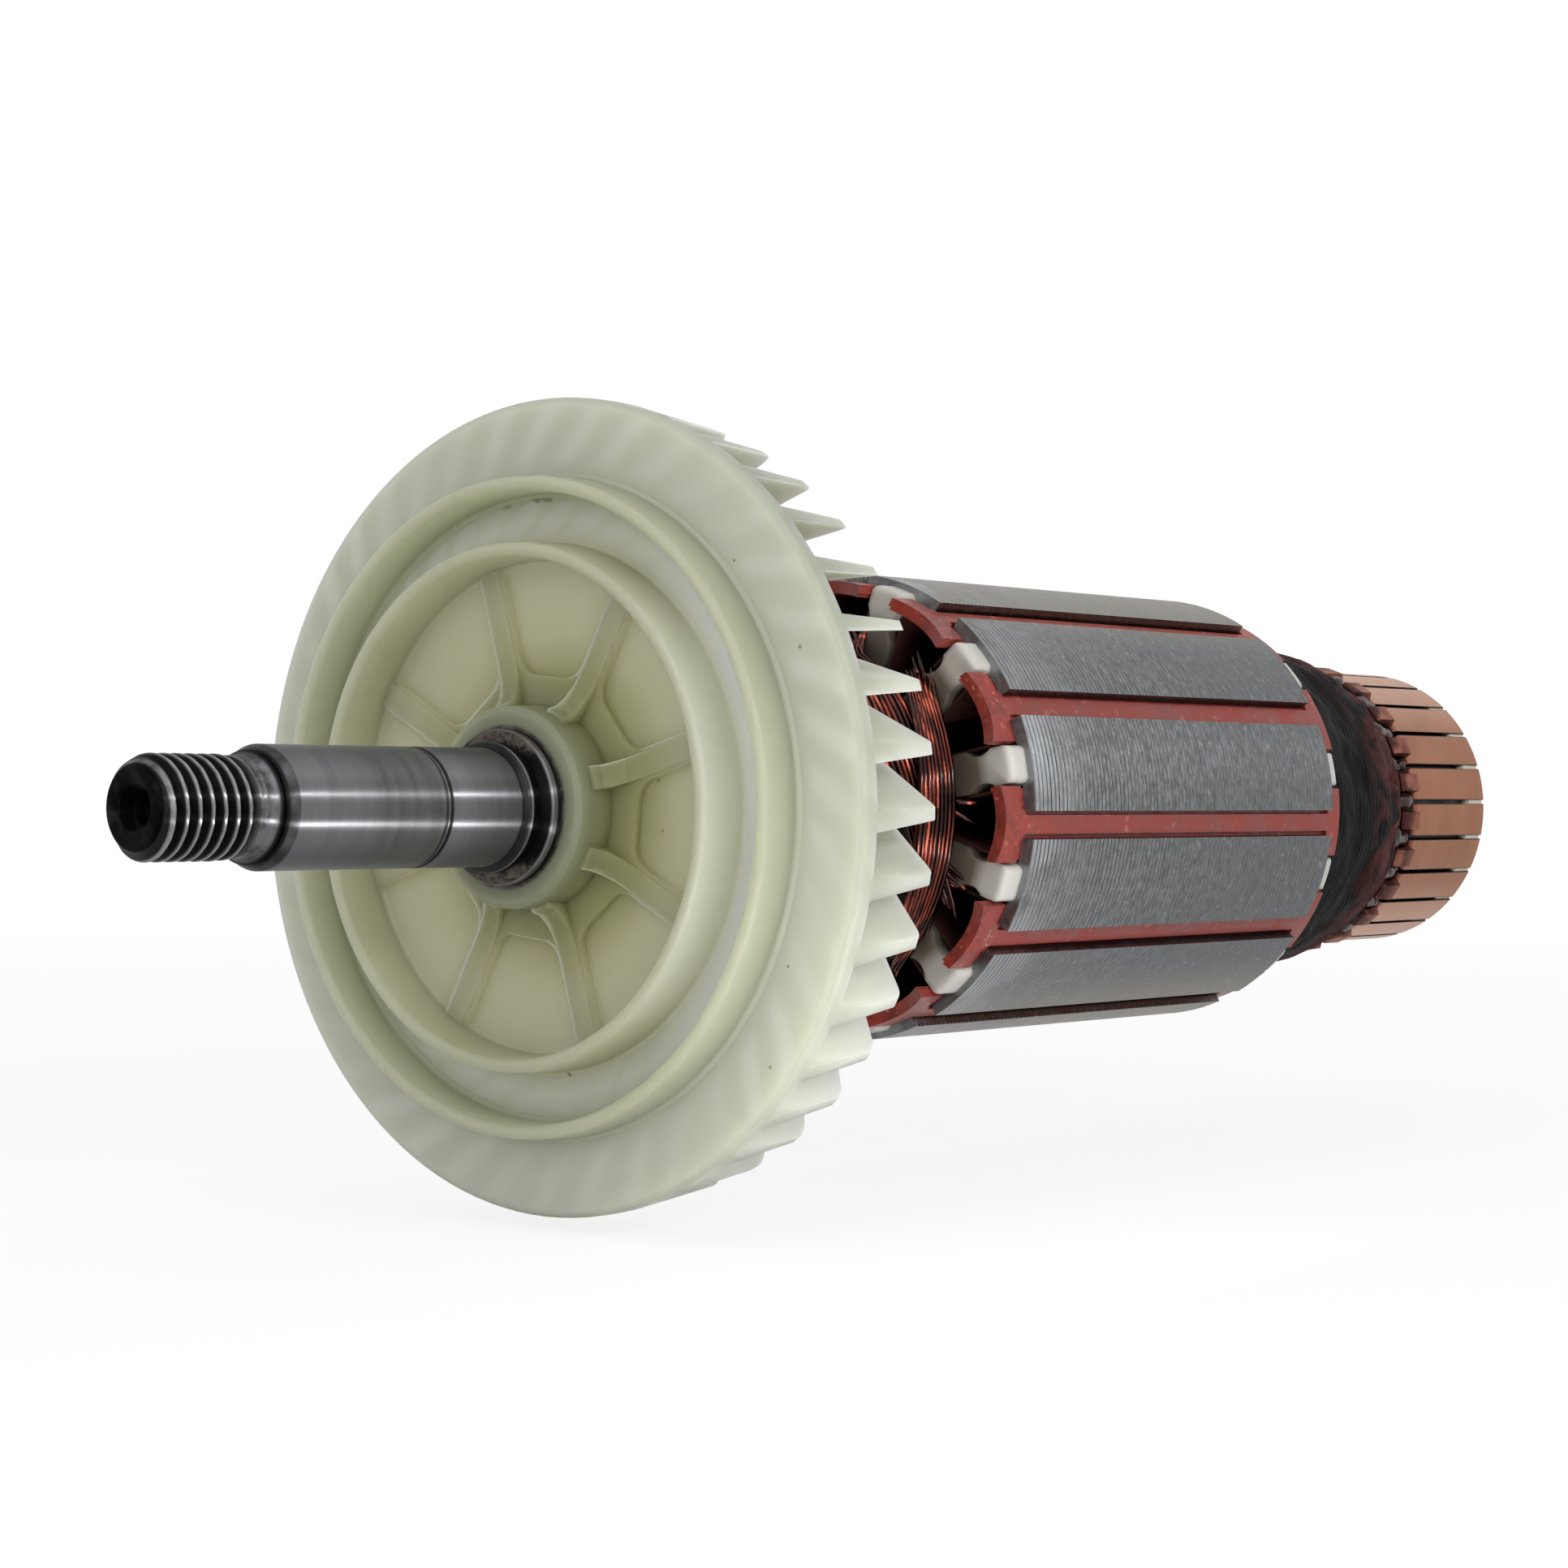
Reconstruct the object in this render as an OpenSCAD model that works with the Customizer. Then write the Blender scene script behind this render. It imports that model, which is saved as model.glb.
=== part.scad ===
// Armature of a universal motor from a large angle grinder.
// The shaft lies along X with its threaded end towards -X. X = 0 is the shoulder that the drive-end
// bearing rests against, and every axial place below is counted from it.
// Pieces are drawn standing on Z and laid over by lay(): angles run from +Y towards +Z.

/* [Shaft] */
// Diameter of the drive-end bearing journal
journal_d = 12; // [10:0.5:14]
// Length of the journal, from its bevel to the bearing shoulder
journal_len = 30; // [20:0.5:40]
// Distance of the mark groove from the bearing shoulder
mark_x = 10; // [6:0.1:16]
// Width of the mark groove
mark_w = 0.8; // [0.5:0.1:2]
// Depth of the mark groove
mark_depth = 0.2; // [0.16:0.02:0.4]
// Outer diameter of the threaded end
thread_d = 10; // [8:0.5:10]
// Length of the threaded end
thread_len = 10.4; // [8:0.1:16]
// Diameter of the relief behind the thread, at its thin end
relief_d = 8.9; // [7:0.1:9.5]
// Length of the relief behind the thread
relief_len = 2.9; // [1:0.1:5]
// Length of the undercut between relief and journal
undercut_len = 0.4; // [0.2:0.1:1]
// Length of the bevel at the journal's front edge
bevel_len = 0.9; // [0.3:0.1:2]
// Length of the chamfer at the shaft's tip
tip_chamfer = 1.1; // [0.5:0.1:1.5]
// Mouth diameter of the centre hole in the tip
centre_hole_d = 4.3; // [2:0.1:5]
// Depth of the centre hole
centre_hole_depth = 7; // [4:0.5:12]
// Diameter of the bearing shoulder
shoulder_d = 13.3; // [12.5:0.1:15]
// Length of the bearing shoulder
shoulder_len = 1.6; // [1:0.1:2.3]
// Diameter of the seat that carries the fan
seat_d = 15.9; // [14:0.1:18]
// Diameter of the shaft under the core
core_seat_d = 14; // [13:0.1:14]
// Diameter of the shaft under the commutator
comm_seat_d = 13; // [12.4:0.1:13.5]
// Diameter of the rear bearing stub
stub_d = 10; // [8:0.5:10]
// Length of the rear bearing stub
stub_len = 14; // [8:0.5:20]

/* [Cooling fan] */
// Distance from the bearing shoulder to the front plane of the fan's rim
rim_x = 8.9; // [8:0.1:12]
// Outer diameter of the fan
fan_d = 84.2; // [80:0.2:96]
// Thickness of the fan's disc
disc_t = 1.8; // [1.4:0.1:3]
// Number of blades
blade_count = 40; // [24:1:44]
// Height of the blades behind the disc
blade_h = 11.3; // [6:0.1:12]
// Thickness of a blade at the disc
blade_t = 1.6; // [1:0.1:1.8]
// Thickness of a blade at its free edge
blade_tip_t = 0.8; // [0.5:0.1:1.6]
// Distance of a blade's line from the fan's axis, which sets its sweep
blade_offset = 22.5; // [10:0.5:24]
// Radius at which the blades start
blade_inner_r = 27; // [25:0.5:32]
// How much the blade tips step in from the rim at their rear corner
blade_tip_in = 1.1; // [0:0.1:3]
// Outer radius of the outer ring on the front
outer_ring_r = 33.9; // [32:0.1:38]
// Height of the outer ring
outer_ring_h = 5; // [2:0.1:6]
// Outer radius of the inner ring on the front
inner_ring_r = 27.1; // [24:0.1:30]
// Height of the inner ring
inner_ring_h = 6.2; // [2:0.1:7]
// Thickness of both rings at the crest
ring_t = 1.7; // [1:0.1:2.5]
// Diameter of the hub
hub_d = 20.6; // [19:0.1:23]
// Height of the hub in front of the disc
hub_h = 5.8; // [4:0.1:6.5]
// Height of the hub behind the disc
hub_rear_h = 11.2; // [8:0.1:14]
// Number of ribs between hub and inner ring
rib_count = 8; // [5:1:10]
// Thickness of a rib
rib_t = 2.4; // [1.4:0.1:2.6]
// Height of a rib where it meets the hub
rib_hub_h = 3.7; // [2.4:0.1:5]
// Height of the web round the hub, between the windows
web_h = 0.8; // [0.4:0.1:1]
// Width of the strip of web under a rib
web_strip_w = 3.2; // [2.6:0.1:4]

/* [Core] */
// Distance from the bearing shoulder to the core
core_x = 58.4; // [56:0.1:64]
// Length of the lamination stack
core_len = 63.6; // [40:0.2:80]
// Outer diameter of the core
core_d = 53.3; // [53:0.1:56]
// Width of the slot opening
slot_open_w = 3.15; // [2:0.05:4]
// Width of a tooth's neck
tooth_w = 4.6; // [4.4:0.1:5.2]
// Thickness of the tooth tips over the slot
tip_t = 1.55; // [1.2:0.05:2]
// Radius of the slot bottom
slot_root_r = 12; // [11.6:0.1:12.6]
// Thickness of the end insulators over the teeth
insulator_t = 2.9; // [2:0.1:3.4]
// How far the heads of the insulators' fingers stay inside the core's surface
finger_inset = 0.7; // [0.4:0.1:1.5]
// Width of an insulator finger's neck
finger_neck_w = 3; // [2:0.1:4]
// Thickness of the slot liners
liner_t = 0.3; // [0.2:0.05:0.35]
// How far a slot liner stands out of the core
liner_out = 2; // [0.5:0.1:2.6]
// Thickness of the slot wedges
wedge_t = 0.8; // [0.5:0.05:0.9]
// Width of the raised rib on a wedge, which shows in the slot opening
wedge_rib_w = 2.1; // [1:0.1:2.6]
// Height of the raised rib on a wedge
wedge_rib_h = 0.6; // [0.3:0.05:0.9]
// How far the wedges stand out of the core in front
wedge_front_out = 5; // [2:0.1:6]
// How far the wedges stand out of the core behind
wedge_rear_out = 3.3; // [2:0.1:4]
// Depth of the hollow in the wedges' front edge
wedge_hollow = 1; // [0.4:0.1:1.5]
// Depth of the empty space between a wedge and the coils
slot_air = 2; // [0.8:0.1:5]
// Outer diameter of the insulating sleeve on the shaft
sleeve_d = 19; // [18:0.1:19.2]

/* [Winding] */
// Radius of the end turns outside, next to the core
turn_r = 20.2; // [19:0.1:21]
// Height of the throat where the coils leave the slots
throat_h = 1.6; // [1.2:0.1:3]
// Height of the innermost end turns
turn_h = 24; // [18:0.5:27]
// How much lower each coil outside it is
turn_step_h = 3.1; // [1:0.1:3.4]
// Height of the band of wires in an end turn
band_h = 8; // [6:0.5:12]
// Lean of the end turns towards the shaft, in degrees
turn_lean = 6; // [3:0.5:7]

/* [Commutator] */
// Diameter of the commutator's running face
comm_d = 37.3; // [36:0.1:40]
// Distance from the core to the front of the bars
comm_gap = 30.5; // [28:0.5:40]
// Length of the bars with their hooks
comm_len = 24.5; // [20:0.1:32]
// Gap between two bars at the running face
bar_gap = 0.58; // [0.4:0.02:0.9]
// Depth of a bar
bar_depth = 4.2; // [3:0.1:5]
// Depth of the undercut between two bars
undercut_depth = 1.2; // [0.6:0.1:2]
// Length of the hook zone in front of the running face
hook_len = 5.1; // [4:0.1:6]
// Width of a hook
hook_w = 2.3; // [1.8:0.1:3.4]
// Thickness of a hook
hook_t = 0.95; // [0.7:0.05:1.2]
// Diameter of a lead wire
lead_d = 1; // [0.7:0.05:1]
// Outer diameter of the commutator's bush
bush_d = 17; // [15:0.1:20]
// Thickness of the cord binding behind the core
binding_t = 1.4; // [1:0.1:1.8]

/* [Hidden] */

// Counts that the pieces' names follow
slot_count = 12;
bar_count = 24;

// Clearances: a press seat, a loose seat, and the air between neighbouring coils
press = 0.03;
loose = 0.1;
coil_air = 0.15;
big = 200;

// Turning places of the repeated pieces, in degrees
slot_phase = 4;
rib_phase = 28.5;
blade_phase = 7.1;
gap_phase = 12.6;

// Axial places
tip_x = -(journal_len + bevel_len + undercut_len + relief_len + thread_len);
thread_end_x = tip_x + thread_len;
hub_rear_x = rim_x + disc_t + hub_rear_h;
sleeve_x = hub_rear_x + loose;
core_rear_x = core_x + core_len;
turn_front_x = core_x - insulator_t - loose;
turn_rear_x = core_rear_x + insulator_t + loose;
comm_x = core_rear_x + comm_gap;
comm_rear_x = comm_x + comm_len;
stub_x = comm_rear_x + 2;
sleeve_end_x = comm_x - loose;

// Radii
journal_r = journal_d / 2;
seat_r = seat_d / 2;
sleeve_r = sleeve_d / 2;
core_r = core_d / 2;
slot_top_r = core_r - tip_t;
wedge_r = slot_top_r - loose / 2;
comm_r = comm_d / 2;
bar_inner_r = comm_r - bar_depth;
lead_zone_r = comm_r - lead_d - 0.05;
hook_r = comm_r + hook_t + 0.1;

function slot_angle(i) = slot_phase + i * 360 / slot_count;
// Half the slot's width at a distance x from the axis, between two parallel-sided teeth
function slot_half(x) = x * tan(180 / slot_count) - tooth_w / 2 / cos(180 / slot_count);
function arc(cx, cy, r, a0, a1, n = 6) =
    [for (i = [0 : n]) [cx + r * cos(a0 + (a1 - a0) * i / n), cy + r * sin(a0 + (a1 - a0) * i / n)]];

// Lays a piece that stands on Z down along X
module lay(x = 0) {
    translate([x, 0, 0])
        rotate([90, 0, 90])
            children();
}

module tube(r_out, r_in, h) {
    difference() {
        cylinder(r = r_out, h = h, $fn = 96);
        translate([0, 0, -1])
            cylinder(r = r_in, h = h + 2, $fn = 96);
    }
}

// Shaft: one turned bar
module shaft() {
    bevel_x = -journal_len - bevel_len;
    undercut_x = bevel_x - undercut_len;
    relief_r = relief_d / 2;
    bevel_r = journal_r - 0.55;
    mark_r = journal_r - mark_depth;
    tip_r = thread_d / 2 - tip_chamfer;
    step = 0.5;
    outline = [[0, tip_x], [tip_r, tip_x], [thread_d / 2, tip_x + tip_chamfer],
        [thread_d / 2, thread_end_x - step], [relief_r, thread_end_x + step],
        [bevel_r - 0.1, undercut_x], [bevel_r - 0.6, undercut_x + 0.05], [bevel_r - 0.6, bevel_x - 0.05],
        [bevel_r, bevel_x], [journal_r, -journal_len],
        [journal_r, -mark_x - mark_w], [mark_r, -mark_x - mark_w], [mark_r, -mark_x], [journal_r, -mark_x],
        [journal_r, 0], [shoulder_d / 2, 0.4], [shoulder_d / 2, shoulder_len],
        [seat_r - step, shoulder_len], [seat_r, shoulder_len + step], [seat_r, hub_rear_x],
        [core_seat_d / 2, hub_rear_x], [core_seat_d / 2, sleeve_end_x], [comm_seat_d / 2, sleeve_end_x],
        [comm_seat_d / 2, stub_x], [stub_d / 2, stub_x], [stub_d / 2, stub_x + stub_len - step],
        [stub_d / 2 - step, stub_x + stub_len], [0, stub_x + stub_len]];
    hole_r = centre_hole_d / 2;
    drill_r = hole_r * 0.75;
    hole = [[0, tip_x - 1], [hole_r, tip_x - 1], [hole_r, tip_x + 0.3], [drill_r, tip_x + 1],
        [drill_r, tip_x + centre_hole_depth - drill_r], [0, tip_x + centre_hole_depth]];
    color([0.62, 0.63, 0.65])
        lay()
            difference() {
                rotate_extrude($fn = 96)
                    polygon(outline);
                rotate_extrude($fn = 48)
                    polygon(hole);
            }
}

// Cooling fan: one moulding, drawn from its rim plane at Z = 0 with the blades on the +Z side
module fan_ring(r_out, h) {
    r_in = r_out - ring_t;
    foot = 0.45;
    round_r = ring_t / 2 - 0.15;
    crest = concat(arc(r_out - 0.15 - round_r, -h + round_r, round_r, 0, -90),
        arc(r_in + 0.15 + round_r, -h + round_r, round_r, -90, -180));
    rotate_extrude($fn = 144)
        polygon(concat([[r_out + foot, 0.2], [r_out + foot, 0], [r_out + 0.1, -foot]], crest,
            [[r_in - 0.1, -foot], [r_in - foot, 0], [r_in - foot, 0.2]]));
}

module fan_body() {
    rim = fan_d / 2;
    edge = 0.5;
    hub_r = hub_d / 2;
    rear_r = hub_r + 0.7;
    rotate_extrude($fn = 144)
        polygon(concat([[seat_r + press, -hub_h], [hub_r - edge, -hub_h], [hub_r, -hub_h + edge],
            [hub_r + 0.3, 0]],
            arc(rim - edge, edge, edge, -90, 0),
            [[rim, disc_t], [rear_r + 0.6, disc_t], [rear_r, disc_t + 0.6],
            [hub_r, disc_t + hub_rear_h], [seat_r + press, disc_t + hub_rear_h]]));
}

// Web: a low plate round the hub with eight rounded windows
module fan_web() {
    in_r = hub_d / 2 - 0.5;
    out_r = inner_ring_r - ring_t + 0.3;
    step = 360 / rib_count;
    corner = 2.6;
    near_r = hub_d / 2 + 3.2;
    mid_r = near_r + corner;
    far_r = out_r + 1;
    function side(r) = r * tan(step / 2) - web_strip_w / 2 / cos(step / 2);
    mid_y = side(mid_r) - corner / cos(step / 2);
    touch = [mid_r - corner * sin(step / 2), mid_y + corner * cos(step / 2)];
    difference() {
        rotate_extrude($fn = 144)
            polygon([[in_r, 0.2], [in_r, -web_h * 1.5], [near_r, -web_h], [out_r, -web_h], [out_r, 0.2]]);
        for (i = [0 : rib_count - 1])
            rotate(rib_phase + (i + 0.5) * step)
                translate([0, 0, -big])
                    linear_extrude(big)
                        union() {
                            polygon([[near_r, mid_y], touch, [far_r, side(far_r)],
                                [far_r, -side(far_r)], [touch[0], -touch[1]], [near_r, -mid_y]]);
                            for (s = [-1, 1])
                                translate([mid_r, s * mid_y])
                                    circle(r = corner, $fn = 48);
                        }
    }
}

// Ribs: high at the hub, falling away in a curve to the web
module fan_ribs() {
    in_r = hub_d / 2 - 0.5;
    out_r = inner_ring_r - ring_t + 0.3;
    flat_r = in_r + 1;
    fall_r = in_r + 6;
    low_h = web_h + 0.25;
    for (i = [0 : rib_count - 1])
        rotate(rib_phase + i * 360 / rib_count)
            translate([0, rib_t / 2, 0])
                rotate([90, 0, 0])
                    linear_extrude(rib_t)
                        polygon(concat([[in_r, 0.2], [in_r, -rib_hub_h], [flat_r, -rib_hub_h]],
                            [for (a = [20 : 20 : 80]) [fall_r - (fall_r - flat_r) * cos(a),
                                -rib_hub_h + (rib_hub_h - low_h) * sin(a)]],
                            [[fall_r, -low_h], [out_r, -low_h], [out_r, 0.2]]));
}

module fan_blades() {
    rim = fan_d / 2;
    top = disc_t + blade_h;
    corner = 1.1;
    tip_r = rim - blade_tip_in;
    start = sqrt(max(blade_inner_r * blade_inner_r - blade_offset * blade_offset, 1)) - 2;
    intersection() {
        union()
            for (i = [0 : blade_count - 1])
                rotate(blade_phase + i * 360 / blade_count)
                    translate([start, -blade_offset, disc_t - 0.2])
                        rotate([90, 0, 90])
                            linear_extrude(rim)
                                polygon([[-blade_t / 2, 0], [blade_t / 2, 0],
                                    [blade_tip_t / 2, blade_h + 1], [-blade_tip_t / 2, blade_h + 1]]);
        rotate_extrude($fn = 144)
            polygon(concat([[blade_inner_r, 0.4], [rim, 0.4], [rim, disc_t], [tip_r, top - corner]],
                arc(tip_r - corner, top - corner, corner, 15, 90, 5),
                [[blade_inner_r + 4, top], [blade_inner_r, disc_t + blade_h / 2]]));
    }
}

module cooling_fan() {
    color([0.74, 0.75, 0.66])
        lay(rim_x)
            union() {
                fan_body();
                fan_ring(outer_ring_r, outer_ring_h);
                fan_ring(inner_ring_r, inner_ring_h);
                fan_web();
                fan_ribs();
                fan_blades();
            }
}

// Insulating sleeve between shaft and core
module shaft_sleeve() {
    flare_r = sleeve_r - 1;
    color([0.85, 0.83, 0.76])
        lay(sleeve_x)
            rotate_extrude($fn = 96)
                polygon([[core_seat_d / 2 + press, 0], [flare_r, 0], [sleeve_r, 1],
                    [sleeve_r, sleeve_end_x - sleeve_x], [core_seat_d / 2 + press, sleeve_end_x - sleeve_x]]);
}

// Core: a stack of punched sheets, drawn as one extruded punching
module slot_shape(x0, x1, inset) {
    polygon([[x0, slot_half(x0) - inset], [x1, slot_half(x1) - inset],
        [x1, -slot_half(x1) + inset], [x0, -slot_half(x0) + inset]]);
}

module lamination_stack() {
    color([0.55, 0.57, 0.58])
        lay(core_x)
            difference() {
                cylinder(r = core_r, h = core_len, $fn = 144);
                translate([0, 0, -1])
                    cylinder(r = sleeve_r + press, h = core_len + 2, $fn = 96);
                for (i = [0 : slot_count - 1])
                    rotate(slot_angle(i))
                        translate([0, 0, -1]) {
                            intersection() {
                                linear_extrude(core_len + 2)
                                    slot_shape(slot_root_r, core_r, 0);
                                cylinder(r = slot_top_r, h = core_len + 2, $fn = 144);
                            }
                            translate([slot_top_r - 1, -slot_open_w / 2, 0])
                                cube([tip_t + 2, slot_open_w, core_len + 2]);
                        }
            }
}

// End insulators: a spider with a finger over each tooth, drawn with the core below Z = 0. Each finger
// has a rounded head, a hollowed neck and a foot as wide as the tooth.
module finger_shape() {
    head_w = tooth_w - 0.4;
    head_r = core_r - finger_inset;
    neck_r = head_r - 4.1;
    soft = 0.9;
    hollow = 2.3;
    difference() {
        union() {
            translate([0, -tooth_w / 2])
                square([neck_r, tooth_w]);
            translate([neck_r - 1, -head_w / 2])
                square([head_r - soft - neck_r + 1, head_w]);
            translate([neck_r, -head_w / 2 + soft])
                square([head_r - neck_r, head_w - 2 * soft]);
            for (s = [-1, 1])
                translate([head_r - soft, s * (head_w / 2 - soft)])
                    circle(r = soft, $fn = 32);
        }
        for (s = [-1, 1])
            translate([neck_r, s * (finger_neck_w / 2 + hollow)])
                circle(r = hollow, $fn = 48);
    }
}

module insulator() {
    head_r = core_r - finger_inset;
    ring_r = slot_root_r - 0.2;
    soft = 0.8;
    intersection() {
        rotate_extrude($fn = 96)
            polygon(concat([[sleeve_r + press, 0], [head_r, 0]],
                arc(head_r - soft, insulator_t - soft, soft, 0, 90, 4),
                [[sleeve_r + press, insulator_t]]));
        union() {
            cylinder(r = ring_r, h = insulator_t, $fn = 96);
            for (i = [0 : slot_count - 1])
                rotate(slot_angle(i + 0.5))
                    linear_extrude(insulator_t)
                        finger_shape();
        }
    }
}

module front_insulator() {
    color([0.9, 0.89, 0.86])
        lay(core_x)
            mirror([0, 0, 1])
                insulator();
}

module rear_insulator() {
    color([0.9, 0.89, 0.86])
        lay(core_rear_x)
            insulator();
}

// Slot liners: a folded strip of fibre paper in each slot, open towards the wedge
module slot_liners() {
    inset = 0.05;
    x0 = slot_root_r + inset;
    x1 = slot_top_r - wedge_t - 0.45;
    color([0.45, 0.16, 0.12])
        lay(core_x - liner_out)
            for (i = [0 : slot_count - 1])
                rotate(slot_angle(i))
                    linear_extrude(core_len + 2 * liner_out)
                        difference() {
                            slot_shape(x0, x1, inset);
                            slot_shape(x0 + liner_t, core_r, inset + liner_t);
                        }
}

// Plan of a wedge's outer part: wide flaps outside the core, a narrow rib between the teeth
module wedge_rib_plan(flap_half, front_z, rear_z, len) {
    rib_half = wedge_rib_w / 2;
    fillet = 0.8;
    flap_z = front_z - fillet;
    for (s = [-1, 1])
        polygon(concat([[1, 0], [1, s * flap_half], [-flap_z, s * flap_half]],
            [for (a = [0 : 30 : 90]) [-flap_z - fillet * sin(a), s * (rib_half + fillet * cos(a))]],
            [[-front_z, s * rib_half], [-rear_z, s * rib_half]],
            [[-rear_z - fillet, s * flap_half], [-len - 1, s * flap_half], [-len - 1, 0]]));
}

// Slot wedge: a curved strip of red fibre under the tooth tips, with a raised rib in the opening that
// widens into a flap at both ends
module slot_wedge(i) {
    half_w = slot_half((wedge_r - wedge_t) * 0.985) - loose;
    flap_half = slot_half(wedge_r) - loose * 1.5;
    len = core_len + wedge_front_out + wedge_rear_out;
    hollow_r = (flap_half * flap_half / wedge_hollow + wedge_hollow) / 2;
    front_z = wedge_front_out - loose * 4;
    rear_z = wedge_front_out + core_len + loose * 4;
    color([0.6, 0.2, 0.15])
        lay(core_x - wedge_front_out)
            rotate(slot_angle(i))
                difference() {
                    union() {
                        intersection() {
                            tube(wedge_r, wedge_r - wedge_t, len);
                            translate([0, -half_w, -1])
                                cube([core_r, 2 * half_w, len + 2]);
                        }
                        intersection() {
                            tube(wedge_r + wedge_rib_h, wedge_r - wedge_t / 2, len);
                            rotate([0, 90, 0])
                                linear_extrude(core_r)
                                    wedge_rib_plan(flap_half, front_z, rear_z, len);
                        }
                    }
                    translate([0, 0, wedge_hollow - hollow_r])
                        rotate([0, 90, 0])
                            cylinder(r = hollow_r, h = core_r, $fn = 96);
                }
}

// Coils: twelve coils in six nested shells, two in each shell on opposite sides of the shaft.
// The coil of shell k lies in the slots k - 1 and k + 3, or k + 5 and k + 9. Each slot holds the sides of
// two coils: the one of the inner shell at its bottom and the one of the outer shell at its top.
shells = slot_count / 2;
side_span = 4;
shell_in_r = sleeve_r + 0.25 + turn_h * tan(turn_lean);
shell_t = (turn_r - shell_in_r) / shells;
side_bottom_r = slot_root_r + liner_t + 0.25;
side_top_r = slot_top_r - wedge_t - slot_air;
side_split_r = (side_bottom_r + side_top_r) / 2;

function shell_r(k) = shell_in_r + k * shell_t;
function shell_h(k) = turn_h - k * turn_step_h;
// The other coil in the slot where a coil of shell k has its near (0) or far (1) side
function partner(k, far) = (k + (far == 0 ? 2 : shells - 2)) % shells;
function is_top(k, far) = k > partner(k, far);

module coil_side(k, far) {
    x0 = is_top(k, far) ? side_split_r + coil_air / 2 : side_bottom_r;
    x1 = is_top(k, far) ? side_top_r : side_split_r - coil_air / 2;
    len = turn_rear_x - turn_front_x;
    inset = liner_t + 0.15;
    translate([0, 0, turn_front_x])
        linear_extrude(len)
            slot_shape(x0, x1, inset);
    for (end = [0, 1])
        translate([0, 0, end == 0 ? turn_front_x : turn_rear_x])
            mirror([0, 0, 1 - end])
                coil_throat(k, x0, x1);
}

// Throat: the side's wires bend from the slot into the shell
module coil_throat(k, x0, x1) {
    half_w = slot_half(side_bottom_r) - liner_t + 0.5;
    rotate([90, 0, 0])
        translate([0, 0, -half_w])
            linear_extrude(2 * half_w)
                polygon([[x0, -0.01], [x1, -0.01], [shell_r(k + 1) - coil_air, throat_h],
                    [shell_r(k + 1) - coil_air, throat_h + 0.4], [shell_r(k), throat_h + 0.4],
                    [shell_r(k), throat_h]]);
}

// End turn: a leaning band between the two sides, on two legs
module coil_turn(k) {
    r0 = shell_r(k);
    r1 = shell_r(k + 1) - coil_air;
    h = shell_h(k);
    soft = (r1 - r0) / 3;
    lean = tan(turn_lean);
    margin = 3.5;
    span = side_span * 360 / slot_count;
    window_h = max(h - band_h, throat_h / 2);
    rotate(-margin)
        difference() {
            rotate_extrude(angle = span + 2 * margin, $fn = 144)
                polygon([[r0, throat_h], [r1, throat_h], [r1 - (h - soft - throat_h) * lean, h - soft],
                    [r1 - (h - throat_h) * lean - soft, h], [r0 - (h - throat_h) * lean + soft, h],
                    [r0 - (h - soft - throat_h) * lean, h - soft]]);
            rotate(2 * margin)
                rotate_extrude(angle = span - 2 * margin, $fn = 144)
                    polygon([[sleeve_r - 1, 0], [r1 + 1, 0], [r1 + 1, window_h], [sleeve_r - 1, window_h]]);
        }
}

module coil(i) {
    k = i % shells;
    first = (i < shells ? k : k + shells) - 1;
    color([0.42, 0.17, 0.1])
        lay()
            rotate(slot_angle(first))
                union() {
                    coil_side(k, 0);
                    rotate(side_span * 360 / slot_count)
                        coil_side(k, 1);
                    translate([0, 0, turn_rear_x])
                        coil_turn(k);
                    translate([0, 0, turn_front_x])
                        mirror([0, 0, 1])
                            coil_turn(k);
                }
}

// Lead wires from the rear end turns to the hooks
lead_x = turn_rear_x + shell_h(shells - 2) + 0.3;

module lead_wires() {
    color([0.35, 0.15, 0.1])
        lay(lead_x)
            for (i = [0 : bar_count - 1])
                rotate(gap_phase + (i + 0.5) * 360 / bar_count)
                    translate([comm_r - lead_d / 2, 0, 0])
                        cylinder(d = lead_d, h = comm_x + hook_len - 1.4 - lead_x, $fn = 24);
}

// Binding: a cord wound over the rear end turns and the leads, soaked in varnish
module lead_binding() {
    start_x = core_rear_x + max(wedge_rear_out, insulator_t) + 0.3;
    end_z = comm_x - 1 - start_x;
    end_r = comm_r + 0.05;
    full_r = slot_top_r - binding_t - 0.5;
    inner = [[full_r - 0.2, 0], [full_r, 1.5], [full_r - 0.9, 6], [full_r - 2.4, 12],
        [end_r + 0.9, end_z - 5], [end_r, end_z - 1.5], [end_r, end_z]];
    color([0.12, 0.09, 0.08])
        lay(start_x)
            rotate_extrude($fn = 96)
                polygon(concat(inner, [for (i = [len(inner) - 1 : -1 : 0]) inner[i] + [binding_t, 0]]));
}

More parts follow.
